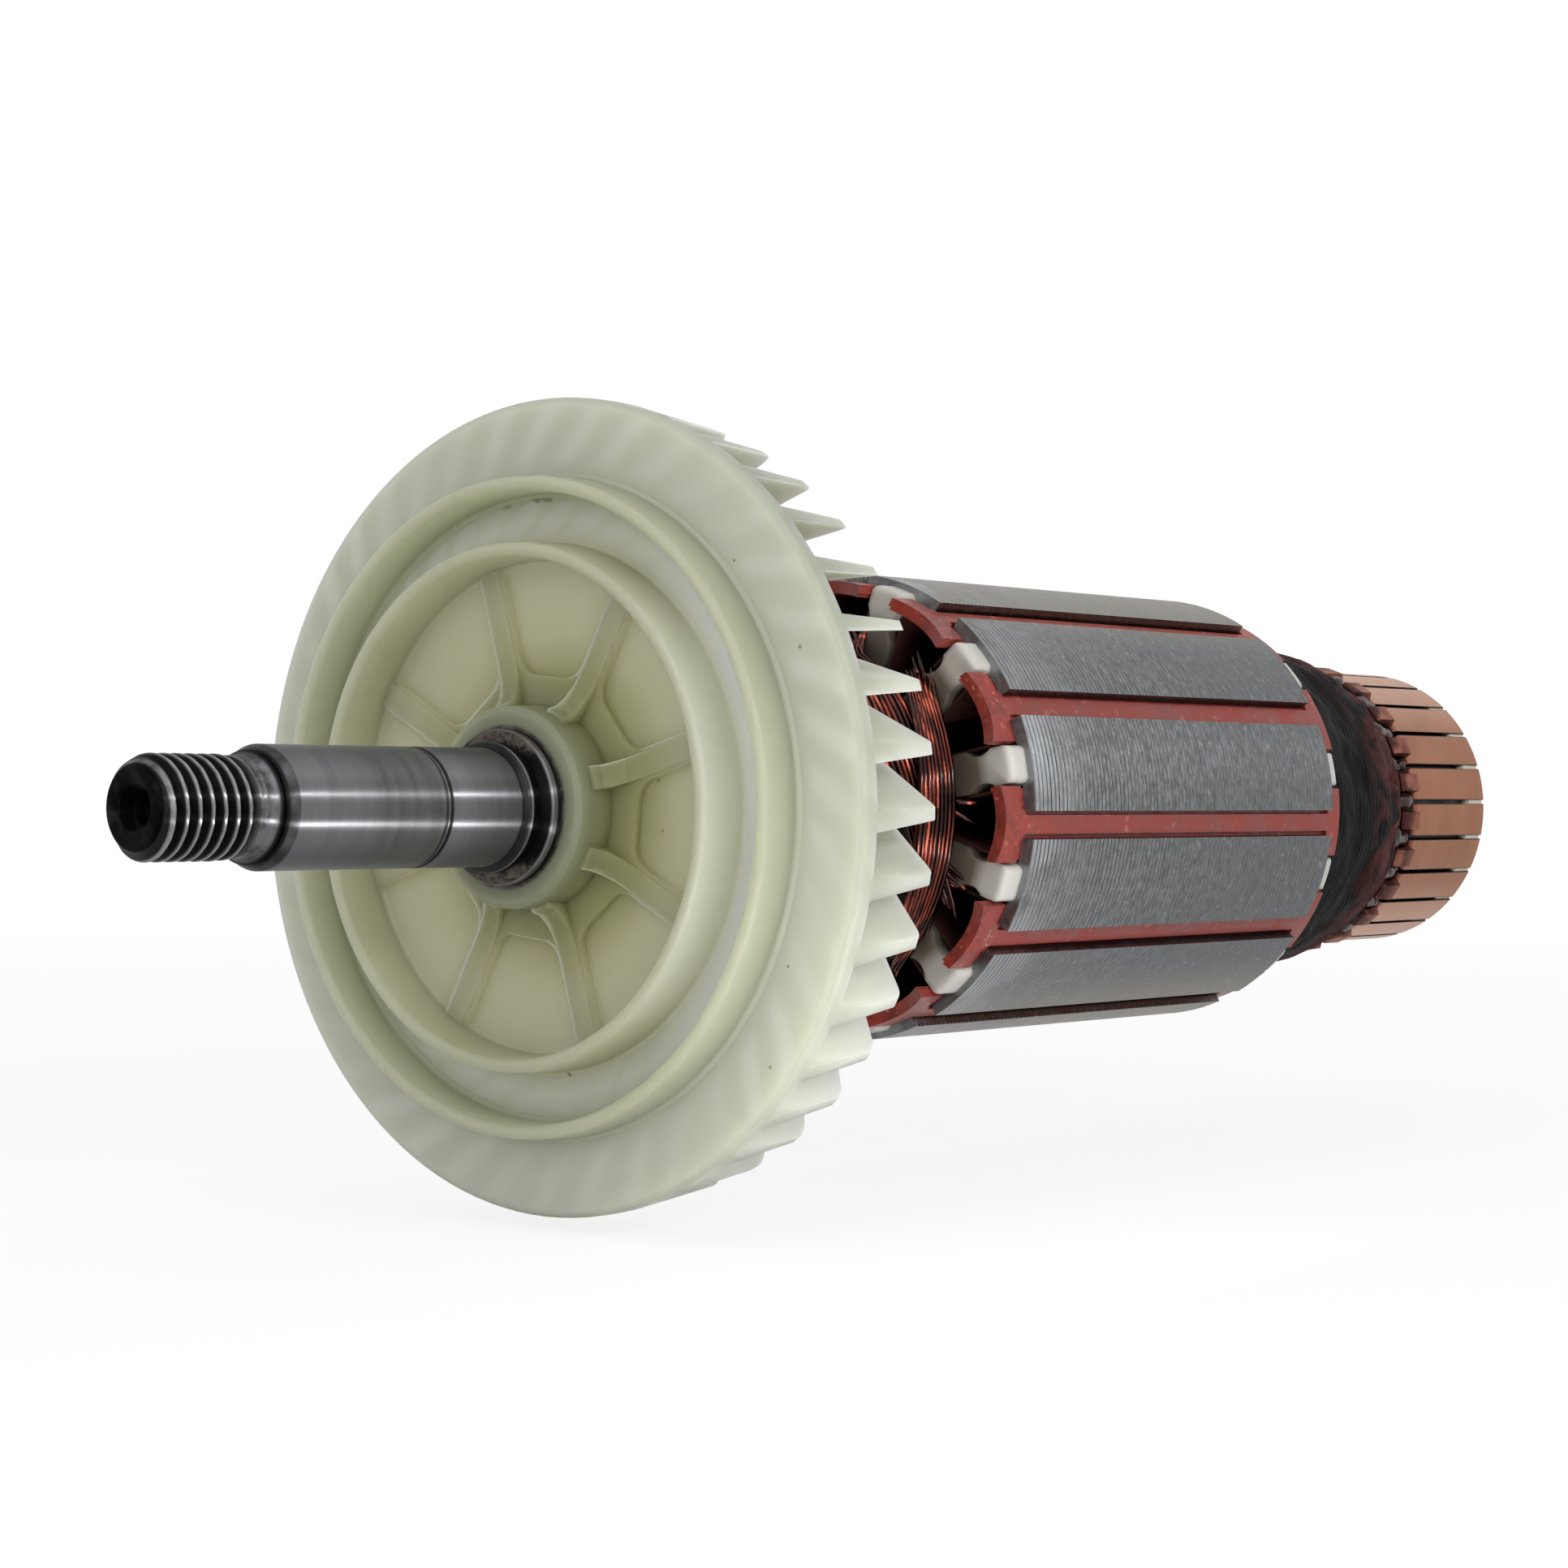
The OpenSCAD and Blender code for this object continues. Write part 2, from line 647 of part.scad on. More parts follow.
// Commutator bar: drawn on +X, with its hook in front
module commutator_bar(i) {
    step = 360 / bar_count;
    gap = 2 * asin(bar_gap / 2 / comm_r);
    face_z = hook_len;
    lock_r = bar_inner_r + bar_depth * 0.35;
    notch = 1.8;
    soft = 0.6;
    color([0.62, 0.4, 0.29])
        lay(comm_x)
            rotate(gap_phase + i * step + gap / 2)
                union() {
                    rotate_extrude(angle = step - gap, $fn = 192)
                        polygon([[lock_r, 0], [lead_zone_r, 0], [lead_zone_r, face_z - 1.2],
                            [comm_r, face_z], [comm_r, comm_len - soft], [comm_r - soft, comm_len],
                            [lock_r, comm_len], [bar_inner_r + 1, comm_len - notch],
                            [bar_inner_r, comm_len - notch], [bar_inner_r, notch], [bar_inner_r + 1, notch]]);
                    rotate((step - gap) / 2)
                        translate([0, hook_w / 2, 0])
                            rotate([90, 0, 0])
                                linear_extrude(hook_w)
                                    polygon([[lead_zone_r - 0.5, face_z - 1.25],
                                        [comm_r + 0.05, face_z - 1.25],
                                        [comm_r + 0.05, 0.3], [hook_r - 0.3, 0.1], [hook_r, 0.5],
                                        [hook_r, face_z - 0.9], [comm_r - 0.2, face_z],
                                        [lead_zone_r - 0.5, face_z]]);
                }
}

// Moulding that holds the bars, with a thin wall between each two
module commutator_moulding() {
    step = 360 / bar_count;
    gap = 2 * asin(bar_gap / 2 / comm_r) - 0.04;
    lock_r = bar_inner_r + bar_depth * 0.35;
    notch = 1.8;
    end_len = 4.6;
    wall_r = comm_r - undercut_depth;
    bore_r = bush_d / 2 + press;
    color([0.8, 0.75, 0.66])
        lay(comm_x)
            union() {
                rotate_extrude($fn = 96)
                    polygon([[bore_r, 0], [lock_r - press, 0], [bar_inner_r + 1 - press, notch],
                        [bar_inner_r - press, notch], [bar_inner_r - press, comm_len - notch],
                        [bar_inner_r + 1 - press, comm_len - notch], [lock_r - press, comm_len],
                        [bore_r, comm_len]]);
                for (i = [0 : bar_count - 1])
                    rotate(gap_phase + i * step - gap / 2)
                        rotate_extrude(angle = gap, $fn = 192)
                            polygon([[bar_inner_r - 0.5, 0.6], [lead_zone_r - 0.3, 0.6],
                                [lead_zone_r - 0.3, hook_len - 1], [wall_r, hook_len],
                                [wall_r, comm_len - end_len], [comm_r - 0.25, comm_len - end_len + 0.3],
                                [comm_r - 0.25, comm_len - 0.7], [comm_r - 0.8, comm_len],
                                [bar_inner_r - 0.5, comm_len]]);
            }
}

module commutator_bush() {
    color([0.7, 0.6, 0.4])
        lay(comm_x)
            tube(bush_d / 2, comm_seat_d / 2 + press, comm_len);
}

shaft();
cooling_fan();
shaft_sleeve();
lamination_stack();
front_insulator();
rear_insulator();
slot_liners();
lead_wires();
lead_binding();
commutator_moulding();
commutator_bush();
slot_wedge(0);  // slot_wedge_01
slot_wedge(1);  // slot_wedge_02
slot_wedge(2);  // slot_wedge_03
slot_wedge(3);  // slot_wedge_04
slot_wedge(4);  // slot_wedge_05
slot_wedge(5);  // slot_wedge_06
slot_wedge(6);  // slot_wedge_07
slot_wedge(7);  // slot_wedge_08
slot_wedge(8);  // slot_wedge_09
slot_wedge(9);  // slot_wedge_10
slot_wedge(10);  // slot_wedge_11
slot_wedge(11);  // slot_wedge_12
coil(0);  // coil_01
coil(1);  // coil_02
coil(2);  // coil_03
coil(3);  // coil_04
coil(4);  // coil_05
coil(5);  // coil_06
coil(6);  // coil_07
coil(7);  // coil_08
coil(8);  // coil_09
coil(9);  // coil_10
coil(10);  // coil_11
coil(11);  // coil_12
commutator_bar(0);  // commutator_bar_01
commutator_bar(1);  // commutator_bar_02
commutator_bar(2);  // commutator_bar_03
commutator_bar(3);  // commutator_bar_04
commutator_bar(4);  // commutator_bar_05
commutator_bar(5);  // commutator_bar_06
commutator_bar(6);  // commutator_bar_07
commutator_bar(7);  // commutator_bar_08
commutator_bar(8);  // commutator_bar_09
commutator_bar(9);  // commutator_bar_10
commutator_bar(10);  // commutator_bar_11
commutator_bar(11);  // commutator_bar_12
commutator_bar(12);  // commutator_bar_13
commutator_bar(13);  // commutator_bar_14
commutator_bar(14);  // commutator_bar_15
commutator_bar(15);  // commutator_bar_16
commutator_bar(16);  // commutator_bar_17
commutator_bar(17);  // commutator_bar_18
commutator_bar(18);  // commutator_bar_19
commutator_bar(19);  // commutator_bar_20
commutator_bar(20);  // commutator_bar_21
commutator_bar(21);  // commutator_bar_22
commutator_bar(22);  // commutator_bar_23
commutator_bar(23);  // commutator_bar_24
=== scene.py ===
import math
import random

import bpy
from mathutils import Matrix, Vector, noise


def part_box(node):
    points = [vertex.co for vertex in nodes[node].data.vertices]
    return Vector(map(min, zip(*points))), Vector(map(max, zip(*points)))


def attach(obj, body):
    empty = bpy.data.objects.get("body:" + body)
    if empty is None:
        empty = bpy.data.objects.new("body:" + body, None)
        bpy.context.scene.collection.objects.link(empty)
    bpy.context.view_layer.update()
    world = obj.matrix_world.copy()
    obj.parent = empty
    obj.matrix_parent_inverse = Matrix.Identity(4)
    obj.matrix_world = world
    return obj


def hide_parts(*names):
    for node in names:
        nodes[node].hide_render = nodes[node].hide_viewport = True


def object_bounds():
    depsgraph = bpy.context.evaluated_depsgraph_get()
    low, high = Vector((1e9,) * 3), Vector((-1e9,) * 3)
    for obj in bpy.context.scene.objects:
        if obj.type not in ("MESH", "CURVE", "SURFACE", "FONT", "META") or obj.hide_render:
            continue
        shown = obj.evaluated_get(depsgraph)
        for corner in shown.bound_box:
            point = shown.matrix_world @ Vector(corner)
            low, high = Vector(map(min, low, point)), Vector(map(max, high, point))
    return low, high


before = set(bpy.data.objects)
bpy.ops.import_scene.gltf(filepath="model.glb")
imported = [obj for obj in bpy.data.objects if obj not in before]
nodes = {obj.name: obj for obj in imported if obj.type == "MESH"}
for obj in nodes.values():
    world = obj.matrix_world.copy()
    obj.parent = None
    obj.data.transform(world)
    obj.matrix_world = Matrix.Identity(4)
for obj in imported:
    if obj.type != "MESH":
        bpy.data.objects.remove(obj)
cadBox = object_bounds()
mm = 0.001
print("frame loaded:", len(nodes), "nodes")


# Small helpers

def deselectAll():
    if bpy.context.object and bpy.context.object.mode != "OBJECT":
        bpy.ops.object.mode_set(mode="OBJECT")
    bpy.ops.object.select_all(action="DESELECT")


def pick(piece):
    deselectAll()
    piece.select_set(True)
    bpy.context.view_layer.objects.active = piece


def namedPiece(piece, name, replaced=()):
    piece.name = name
    piece.data.name = name
    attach(piece, "root")
    if replaced:
        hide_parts(*replaced)


def fixNormals(piece):
    mergeDistance = 0.002 * mm
    pick(piece)
    bpy.ops.object.mode_set(mode="EDIT")
    bpy.ops.mesh.select_all(action="SELECT")
    bpy.ops.mesh.remove_doubles(threshold=mergeDistance)
    bpy.ops.mesh.normals_make_consistent(inside=False)
    bpy.ops.object.mode_set(mode="OBJECT")


def smooth(piece, angle):
    pick(piece)
    bpy.ops.object.shade_smooth_by_angle(angle=math.radians(angle))


def polar(x, r, turn):
    # turn runs from +Y towards +Z, in degrees; x and r are in mm
    a = math.radians(turn)
    return Vector((x * mm, r * math.cos(a) * mm, r * math.sin(a) * mm))


def turnOnLathe(name, profile, segments, closeRing=False):
    # a circle on the axis, extruded from station to station and scaled to each radius
    x0, r0 = profile[0]
    deselectAll()
    bpy.ops.mesh.primitive_circle_add(vertices=segments, radius=r0 * mm, location=(x0 * mm, 0, 0),
                                      rotation=(0, math.pi / 2, 0), fill_type="NOTHING")
    piece = bpy.context.object
    piece.name = name
    bpy.ops.object.transform_apply(location=True, rotation=True, scale=True)
    bpy.ops.object.mode_set(mode="EDIT")
    bpy.ops.mesh.select_all(action="SELECT")
    if not closeRing:
        bpy.ops.mesh.edge_face_add()
    for (xa, ra), (xb, rb) in zip(profile, profile[1:]):
        bpy.ops.mesh.extrude_region_move(TRANSFORM_OT_translate={"value": ((xb - xa) * mm, 0, 0)})
        bpy.ops.transform.resize(value=(1, rb / ra, rb / ra), center_override=(xb * mm, 0, 0))
    bpy.ops.object.mode_set(mode="OBJECT")
    fixNormals(piece)
    return piece


# Material building

class Shader:
    def __init__(self, name, **values):
        self.material = bpy.data.materials.new(name)
        self.material.use_nodes = True
        self.tree = self.material.node_tree
        self.body = self.tree.nodes["Principled BSDF"]
        for key, value in values.items():
            self.body.inputs[key.replace("_", " ")].default_value = value
        self.where = self.tree.nodes.new("ShaderNodeTexCoord").outputs["Object"]
        split = self.add("ShaderNodeSeparateXYZ", [self.where])
        self.x = self.times(split.outputs[0], 1000)
        self.y = self.times(split.outputs[1], 1000)
        self.z = self.times(split.outputs[2], 1000)
        y2 = self.times(self.y, self.y)
        self.r = self.math("SQRT", self.math("ADD", y2, self.times(self.z, self.z)))
        self.turn = self.math("ARCTAN2", self.z, self.y)

    def add(self, kind, inputs=(), **settings):
        node = self.tree.nodes.new(kind)
        for key, value in settings.items():
            setattr(node, key, value)
        for i, value in enumerate(inputs):
            self.feed(node.inputs[i], value)
        return node

    def feed(self, socket, value):
        if isinstance(value, bpy.types.NodeSocket):
            self.tree.links.new(value, socket)
        elif value is not None:
            socket.default_value = value

    def math(self, how, a, b=None, clamp=False):
        return self.add("ShaderNodeMath", [a, b], operation=how, use_clamp=clamp).outputs[0]

    def times(self, a, b):
        return self.math("MULTIPLY", a, b)

    def apart(self, a, b):
        return self.math("ABSOLUTE", self.math("SUBTRACT", a, b))

    def noise(self, scale, detail=3.0, rough=0.5, stretch=None, place=None):
        place = place or self.where
        if stretch:
            place = self.add("ShaderNodeVectorMath", [place, stretch], operation="MULTIPLY").outputs[0]
        node = self.add("ShaderNodeTexNoise", [place])
        node.inputs["Scale"].default_value = scale
        node.inputs["Detail"].default_value = detail
        node.inputs["Roughness"].default_value = rough
        return node.outputs[0]

    def ramp(self, value, stops):
        node = self.add("ShaderNodeValToRGB", [value])
        points = node.color_ramp.elements
        while len(points) < len(stops):
            points.new(0.5)
        for point, (place, colour) in zip(points, stops):
            point.position = place
            point.color = (*colour, 1)
        return node.outputs[0]

    def range(self, value, low, high, outLow=0.0, outHigh=1.0, soft=True):
        node = self.add("ShaderNodeMapRange", [value, low, high, outLow, outHigh])
        node.interpolation_type = "SMOOTHSTEP" if soft else "LINEAR"
        return node.outputs[0]

    def mix(self, share, a, b):
        node = self.add("ShaderNodeMix", data_type="RGBA")
        self.feed(node.inputs[0], share)
        for socket, value in ((node.inputs[6], a), (node.inputs[7], b)):
            self.feed(socket, (*value, 1) if isinstance(value, tuple) else value)
        return node.outputs[2]

    def colour(self, value):
        self.feed(self.body.inputs["Base Color"], value)

    def roughness(self, value):
        self.feed(self.body.inputs["Roughness"], value)

    def bump(self, height, distance, strength=1.0):
        node = self.add("ShaderNodeBump")
        node.inputs["Strength"].default_value = strength
        node.inputs["Distance"].default_value = distance * mm
        self.feed(node.inputs["Height"], height)
        old = self.body.inputs["Normal"]
        if old.is_linked:
            self.tree.links.new(old.links[0].from_socket, node.inputs["Normal"])
        self.tree.links.new(node.outputs[0], old)


def srgb(r, g, b):
    shares = (r / 255, g / 255, b / 255)
    return tuple(v / 12.92 if v < 0.04045 else ((v + 0.055) / 1.055) ** 2.4 for v in shares)


# Camera and studio

view = dict(place=(-237.9, -236.6, 1.15), ahead=(0.7697, 0.638, 0.0039), right=(0.6384, -0.7697, 0.0032),
            lens=76.16, sensor=36)


def setCamera():
    ahead = Vector(view["ahead"]).normalized()
    right = Vector(view["right"])
    right = (right - ahead * right.dot(ahead)).normalized()
    up = right.cross(ahead)
    bpy.ops.object.camera_add()
    camera = bpy.context.object
    turn = Matrix((right, up, -ahead)).transposed().to_4x4()
    camera.matrix_world = Matrix.Translation(Vector(view["place"]) * mm) @ turn
    camera.data.lens = view["lens"]
    camera.data.sensor_width = view["sensor"]
    camera.data.clip_start = 0.01
    bpy.context.scene.camera = camera


studio = dict(floorDrop=1.5, floorSize=6.0, floorMiddle=0.07, worldLight=0.5, paper=0.8, glowNear=1.06,
              shareNear=0.8, paperFade=(0.2, 0.8))
# name: energy in watts, width and height in metres, place in metres, point it faces
lamps = {
    "keyStrip": (0.8, 0.42, 0.022, (-0.05, -0.42, 0.165), (-0.02, 0, 0)),
    "softTop": (0.9, 0.60, 0.60, (-0.20, -0.15, 0.55), (0.04, 0, 0)),
    "frontFill": (1.6, 0.60, 0.50, (-0.65, -0.14, 0.13), (0.02, 0, 0)),
    "lowStrip": (0.045, 0.12, 0.005, (-0.012, -0.080, -0.0405), (-0.02, -0.005, 0)),
}


def plainlySeen(tree):
    # 1 for rays from the camera, rays off a glossy surface and rays through a clear one
    ray = tree.nodes.new("ShaderNodeLightPath")
    seen = ray.outputs["Is Camera Ray"]
    for kind in ("Is Glossy Ray", "Is Transmission Ray"):
        either = tree.nodes.new("ShaderNodeMath")
        either.operation = "MAXIMUM"
        tree.links.new(seen, either.inputs[0])
        tree.links.new(ray.outputs[kind], either.inputs[1])
        seen = either.outputs[0]
    return seen


def blend(tree, value, low, high, outLow, outHigh):
    node = tree.nodes.new("ShaderNodeMapRange")
    tree.links.new(value, node.inputs[0])
    for socket, bound in zip(list(node.inputs)[1:5], (low, high, outLow, outHigh)):
        socket.default_value = bound
    return node.outputs[0]


def setWorld():
    scene = bpy.context.scene
    scene.view_settings.view_transform = "Standard"
    world = bpy.data.worlds.new("paleStudio")
    scene.world = world
    world.use_nodes = True
    tree = world.node_tree
    strength = blend(tree, plainlySeen(tree), 0.0, 1.0, studio["worldLight"], 1.0)
    back = tree.nodes["Background"]
    back.inputs["Color"].default_value = (1, 1, 1, 1)
    tree.links.new(strength, back.inputs["Strength"])


def setFloor():
    low = cadBox[0].z - studio["floorDrop"] * mm
    deselectAll()
    bpy.ops.mesh.primitive_plane_add(size=studio["floorSize"], location=(studio["floorMiddle"], 0, low))
    floor = bpy.context.object
    floor.name = "paleFloor"
    bpy.ops.object.transform_apply(location=True)
    paper = bpy.data.materials.new("floorPaper")
    paper.use_nodes = True
    tree = paper.node_tree
    tree.nodes.remove(tree.nodes["Principled BSDF"])
    out = tree.nodes["Material Output"]
    plain = tree.nodes.new("ShaderNodeBsdfDiffuse")
    plain.inputs["Color"].default_value = (studio["paper"],) * 3 + (1,)
    glow = tree.nodes.new("ShaderNodeEmission")
    # far from the part the paper turns into plain white, so that no horizon shows
    spot = tree.nodes.new("ShaderNodeTexCoord")
    away = tree.nodes.new("ShaderNodeVectorMath")
    away.operation = "LENGTH"
    tree.links.new(spot.outputs["Object"], away.inputs[0])
    near, far = studio["paperFade"]
    nearShare = blend(tree, away.outputs["Value"], near, far, studio["shareNear"], 1.0)
    nearGlow = blend(tree, away.outputs["Value"], near, far, studio["glowNear"], 1.0)
    tree.links.new(nearGlow, glow.inputs["Strength"])
    share = tree.nodes.new("ShaderNodeMath")
    share.operation = "MULTIPLY"
    tree.links.new(plainlySeen(tree), share.inputs[0])
    tree.links.new(nearShare, share.inputs[1])
    both = tree.nodes.new("ShaderNodeMixShader")
    tree.links.new(share.outputs[0], both.inputs[0])
    tree.links.new(plain.outputs[0], both.inputs[1])
    tree.links.new(glow.outputs[0], both.inputs[2])
    tree.links.new(both.outputs[0], out.inputs["Surface"])
    floor.data.materials.append(paper)


def setLamps():
    for name, (energy, width, height, place, aim) in lamps.items():
        bpy.ops.object.light_add(type="AREA", location=place)
        lamp = bpy.context.object
        lamp.name = name
        lamp.data.shape = "RECTANGLE"
        lamp.data.size = width
        lamp.data.size_y = height
        lamp.data.energy = energy
        toAim = (Vector(aim) - Vector(place)).normalized()
        along = (Vector((1, 0, 0)) - toAim * toAim.x).normalized()
        frameAxes = Matrix((along, (-toAim).cross(along), -toAim)).transposed()
        lamp.rotation_euler = frameAxes.to_euler()


setCamera()
setWorld()
setFloor()
setLamps()
print("camera and studio set")


# Shaft: a turned bar with a real thread on its end

shaftSizes = dict(tip=-44.6, journal=12.0, seat=15.9, thread=10.0, pitch=1.5, threadDepth=0.92,
                  threadStep=0.09, threadLength=11.8, runOut=2.4, chamferStart=3.88, chamferSlope=1.02,
                  segments=128, hole=4.3, holeDepth=7.0, stubLength=14.0, mark=(-10.8, -10.0))


def shaftProfile():
    s = shaftSizes
    low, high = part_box("shaft")
    tip, end = low.x / mm, high.x / mm
    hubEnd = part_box("cooling_fan")[1].x / mm
    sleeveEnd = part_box("shaft_sleeve")[1].x / mm
    stubStart = end - s["stubLength"]
    hole, jr, sr = s["hole"] / 2, s["journal"] / 2, s["seat"] / 2
    bottom = tip + s["holeDepth"]
    profile = [(bottom, 0.05), (bottom - hole * 0.7, hole * 0.72), (tip + 1.1, hole * 0.75),
               (tip + 0.35, hole), (tip + 0.05, hole + 0.15), (tip, hole + 0.3), (tip, 3.7),
               (tip + 0.06, 3.85)]
    x = tip + 0.15
    while x < tip + s["threadLength"]:
        profile.append((x, s["thread"] / 2))
        x += s["threadStep"]
    profile += [(-32.3, 4.78), (-31.7, 4.95), (-31.45, 5.3), (-31.35, 5.42), (-31.3, 5.3), (-31.28, 4.9),
                (-30.92, 4.9), (-30.9, 5.32), (-30.84, 5.42), (-30.05, 5.97), (-29.95, jr)]
    a, b = s["mark"]
    c = (a + b) / 2
    profile += [(a - 0.05, jr), (a, jr - 0.04), (a + 0.04, jr - 0.2), (c - 0.12, jr - 0.2),
                (c - 0.08, jr - 0.05), (c + 0.08, jr - 0.05), (c + 0.12, jr - 0.2), (b - 0.04, jr - 0.2),
                (b, jr - 0.04), (b + 0.05, jr)]
    profile += [(-0.45, jr), (-0.4, jr - 0.16), (-0.05, jr - 0.16), (-0.02, jr), (0.05, 6.5), (0.3, 6.64),
                (1.4, 6.65), (1.5, 6.6), (1.56, 7.3), (1.62, 7.42), (2.0, 7.86), (2.1, sr)]
    profile += [(hubEnd - 0.05, sr), (hubEnd, 7.9), (hubEnd, 7.05), (sleeveEnd, 7.0), (sleeveEnd, 6.5),
                (stubStart - 0.1, 6.5), (stubStart, 6.4), (stubStart, 5.2), (stubStart + 0.1, 5.0),
                (end - 0.5, 5.0), (end, 4.5), (end, 1.6), (end - 0.4, 1.2), (end - 3.0, 1.1),
                (end - 3.6, 0.05)]
    return profile, tip


def threadRadius(x, turn, tip):
    s = shaftSizes
    crest, depth = s["thread"] / 2, s["threadDepth"]
    place = ((x - tip) / s["pitch"] - turn / (2 * math.pi)) % 1
    rise = abs(place - 0.5) * 2
    groove = min(max((rise - 0.05) / 0.77, 0), 1) ** 1.15
    runIn = min(max((tip + s["threadLength"] - x) / s["runOut"], 0), 1)
    r = crest - depth * (1 - groove) * min(runIn * 1.4, 1) - 0.22 * (1 - runIn) * groove
    return min(r, s["chamferStart"] + (x - tip) * s["chamferSlope"])


def makeShaft():
    s = shaftSizes
    profile, tip = shaftProfile()
    bar = turnOnLathe("threadedShaft", profile, s["segments"])
    for v in bar.data.vertices:
        x = v.co.x / mm
        r = math.hypot(v.co.y, v.co.z) / mm
        if tip + 0.14 < x < tip + s["threadLength"] + 0.05 and r > 4.9:
            turn = math.atan2(v.co.z, v.co.y)
            new = threadRadius(x, turn, tip)
            v.co.y *= new / r
            v.co.z *= new / r
    smooth(bar, 40)
    namedPiece(bar, "threadedShaft", ["shaft"])
    bar.data.materials.append(finishes["journalSteel"])


# Winding: each coil is a bundle of closed turns through two slots

coilSizes = dict(slots=12, phase=4.0, span=4, shells=6, wire=0.62, air=0.15, lean=6.0, turnHeight=24.0,
                 step=3.1, band=8.0, throat=1.6, shellOut=20.2, sleeve=9.75, bottom=12.55, top=22.3,
                 tooth=4.6, liner=0.45, mouth=2.6, edge=0.45, skin=0.38, innermost=10.0, rows=9, layers=2,
                 frontPoints=48, rearPoints=22, seed=11)


def slotHalf(x):
    half = math.radians(180 / coilSizes["slots"])
    return x * math.tan(half) - coilSizes["tooth"] / 2 / math.cos(half) - coilSizes["liner"]


def softBends(path, passes=5):
    for _ in range(passes):
        path = [(path[i - 1] + 2 * path[i] + path[(i + 1) % len(path)]) / 4 for i in range(len(path))]
    return path


def coilPaths(index):
    c = coilSizes
    shell = index % c["shells"]
    first = shell - 1 + (0 if index < c["shells"] else c["shells"])
    lean = math.tan(math.radians(c["lean"]))
    inR = c["sleeve"] + c["turnHeight"] * lean
    thick = (c["shellOut"] - inR) / c["shells"]
    r0 = inR + shell * thick
    height = c["turnHeight"] - shell * c["step"]
    base = max(c["throat"], height - c["band"])
    split = (c["bottom"] + c["top"]) / 2
    sides = []
    for far in (0, 1):
        partner = (shell + (2 if far == 0 else c["shells"] - 2)) % c["shells"]
        sides.append((split, c["top"]) if shell > partner else (c["bottom"], split))
    # the wires leave the slots at the core's faces, between the insulators' fingers
    mouth, edge, skin = c["mouth"], c["edge"], c["skin"]
    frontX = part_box("front_insulator")[0].x / mm - 0.1 + mouth
    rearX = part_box("rear_insulator")[1].x / mm + 0.1 - mouth
    rnd = random.Random(c["seed"] + index)
    turnA = c["phase"] + first * 360 / c["slots"]
    spanDeg = c["span"] * 360 / c["slots"]
    outermost = shell == c["shells"] - 1
    paths = []
    for row in range(c["rows"]):
        for layer in range(c["layers"]):
            up = (row + 0.5 * layer) / (c["rows"] - 0.5)
            # the last coil's outer layer is a narrow upright bundle, the wires under it run slantwise
            upright = outermost and layer == 1
            arch = 1.8 if upright else 2.0 - 0.1 * shell
            zBand = base + edge + up * (height - base - 2 * edge) * (0.92 if upright else 1.0)
            rBand = r0 + skin + (thick - c["air"] - 2 * skin) * layer - (zBand - c["throat"]) * lean
            ends = []
            for far in (0, 1):
                low, high = sides[far]
                depth = high - edge - up * (high - low - 2 * edge)
                side = (slotHalf(depth) - edge) * (1.3 * layer - 0.65 + rnd.uniform(-0.3, 0.3))
                ends.append((depth, math.degrees(side / depth)))
            wave = [rnd.uniform(-1, 1) for _ in range(4)]
            path = []
            for sideX, sign, count in ((frontX, -1, c["frontPoints"]), (rearX, 1, c["rearPoints"])):
                arc = []
                for i in range(count):
                    u = i / (count - 1)
                    u -= 0.1 * math.sin(2 * math.pi * u)
                    rise = (1 - abs(2 * u - 1) ** arch) ** (1 / arch)
                    z = (zBand + mouth) * rise
                    settle = min(max(z - mouth * 0.6, 0) / (2.6 if outermost else 2.2), 1)
                    settle = settle * settle * (3 - 2 * settle)
                    side = ends[0] if u < 0.5 else ends[1]
                    if outermost and side[0] > rBand:
                        # the last coil is pulled tight: a straight run, then round the coils under it
                        lift = math.acos(rBand / side[0])
                        r = rBand / math.cos(max(lift - math.radians(min(u, 1 - u) * spanDeg), 0))
                    else:
                        r = side[0] + (rBand - side[0]) * settle
                    r += 0.03 * wave[0] * math.sin(9 * u + 6 * wave[1]) * settle
                    z += (0.07 * wave[2] * math.sin(7 * u + 6 * wave[3]) + 0.05 * wave[1]) * settle
                    turn = turnA + u * spanDeg + side[1] * (1 - settle)
                    arc.append(polar(sideX + sign * z, max(r, c["innermost"]), turn))
                path.append(arc)
            front, rear = path
            rear.reverse()
            paths.append(softBends(front + rear))
    return paths


def makeCoils():
    c = coilSizes
    for index in range(c["slots"]):
        curve = bpy.data.curves.new("coilWires", "CURVE")
        curve.dimensions = "3D"
        curve.bevel_depth = c["wire"] / 2 * mm
        curve.bevel_resolution = 1
        for path in coilPaths(index):
            line = curve.splines.new("POLY")
            line.points.add(len(path) - 1)
            for point, place in zip(line.points, path):
                point.co = (*place, 1)
            line.use_cyclic_u = True
            line.use_smooth = True
        wires = bpy.data.objects.new("coilWires", curve)
        bpy.context.scene.collection.objects.link(wires)
        pick(wires)
        bpy.ops.object.convert(target="MESH")
        wires = bpy.context.object
        number = f"{index + 1:02d}"
        namedPiece(wires, "coilWires_" + number, ["coil_" + number])
        wires.data.materials.clear()
        wires.data.materials.append(finishes["enamel"])


# Cord binding behind the core

bindingSizes = dict(cord=0.95, ridge=0.13, wall=1.4, fullRadius=22.6, roundEdge=0.7, step=0.12,
                    segments=160, lump=0.6, lumpLimit=0.14)


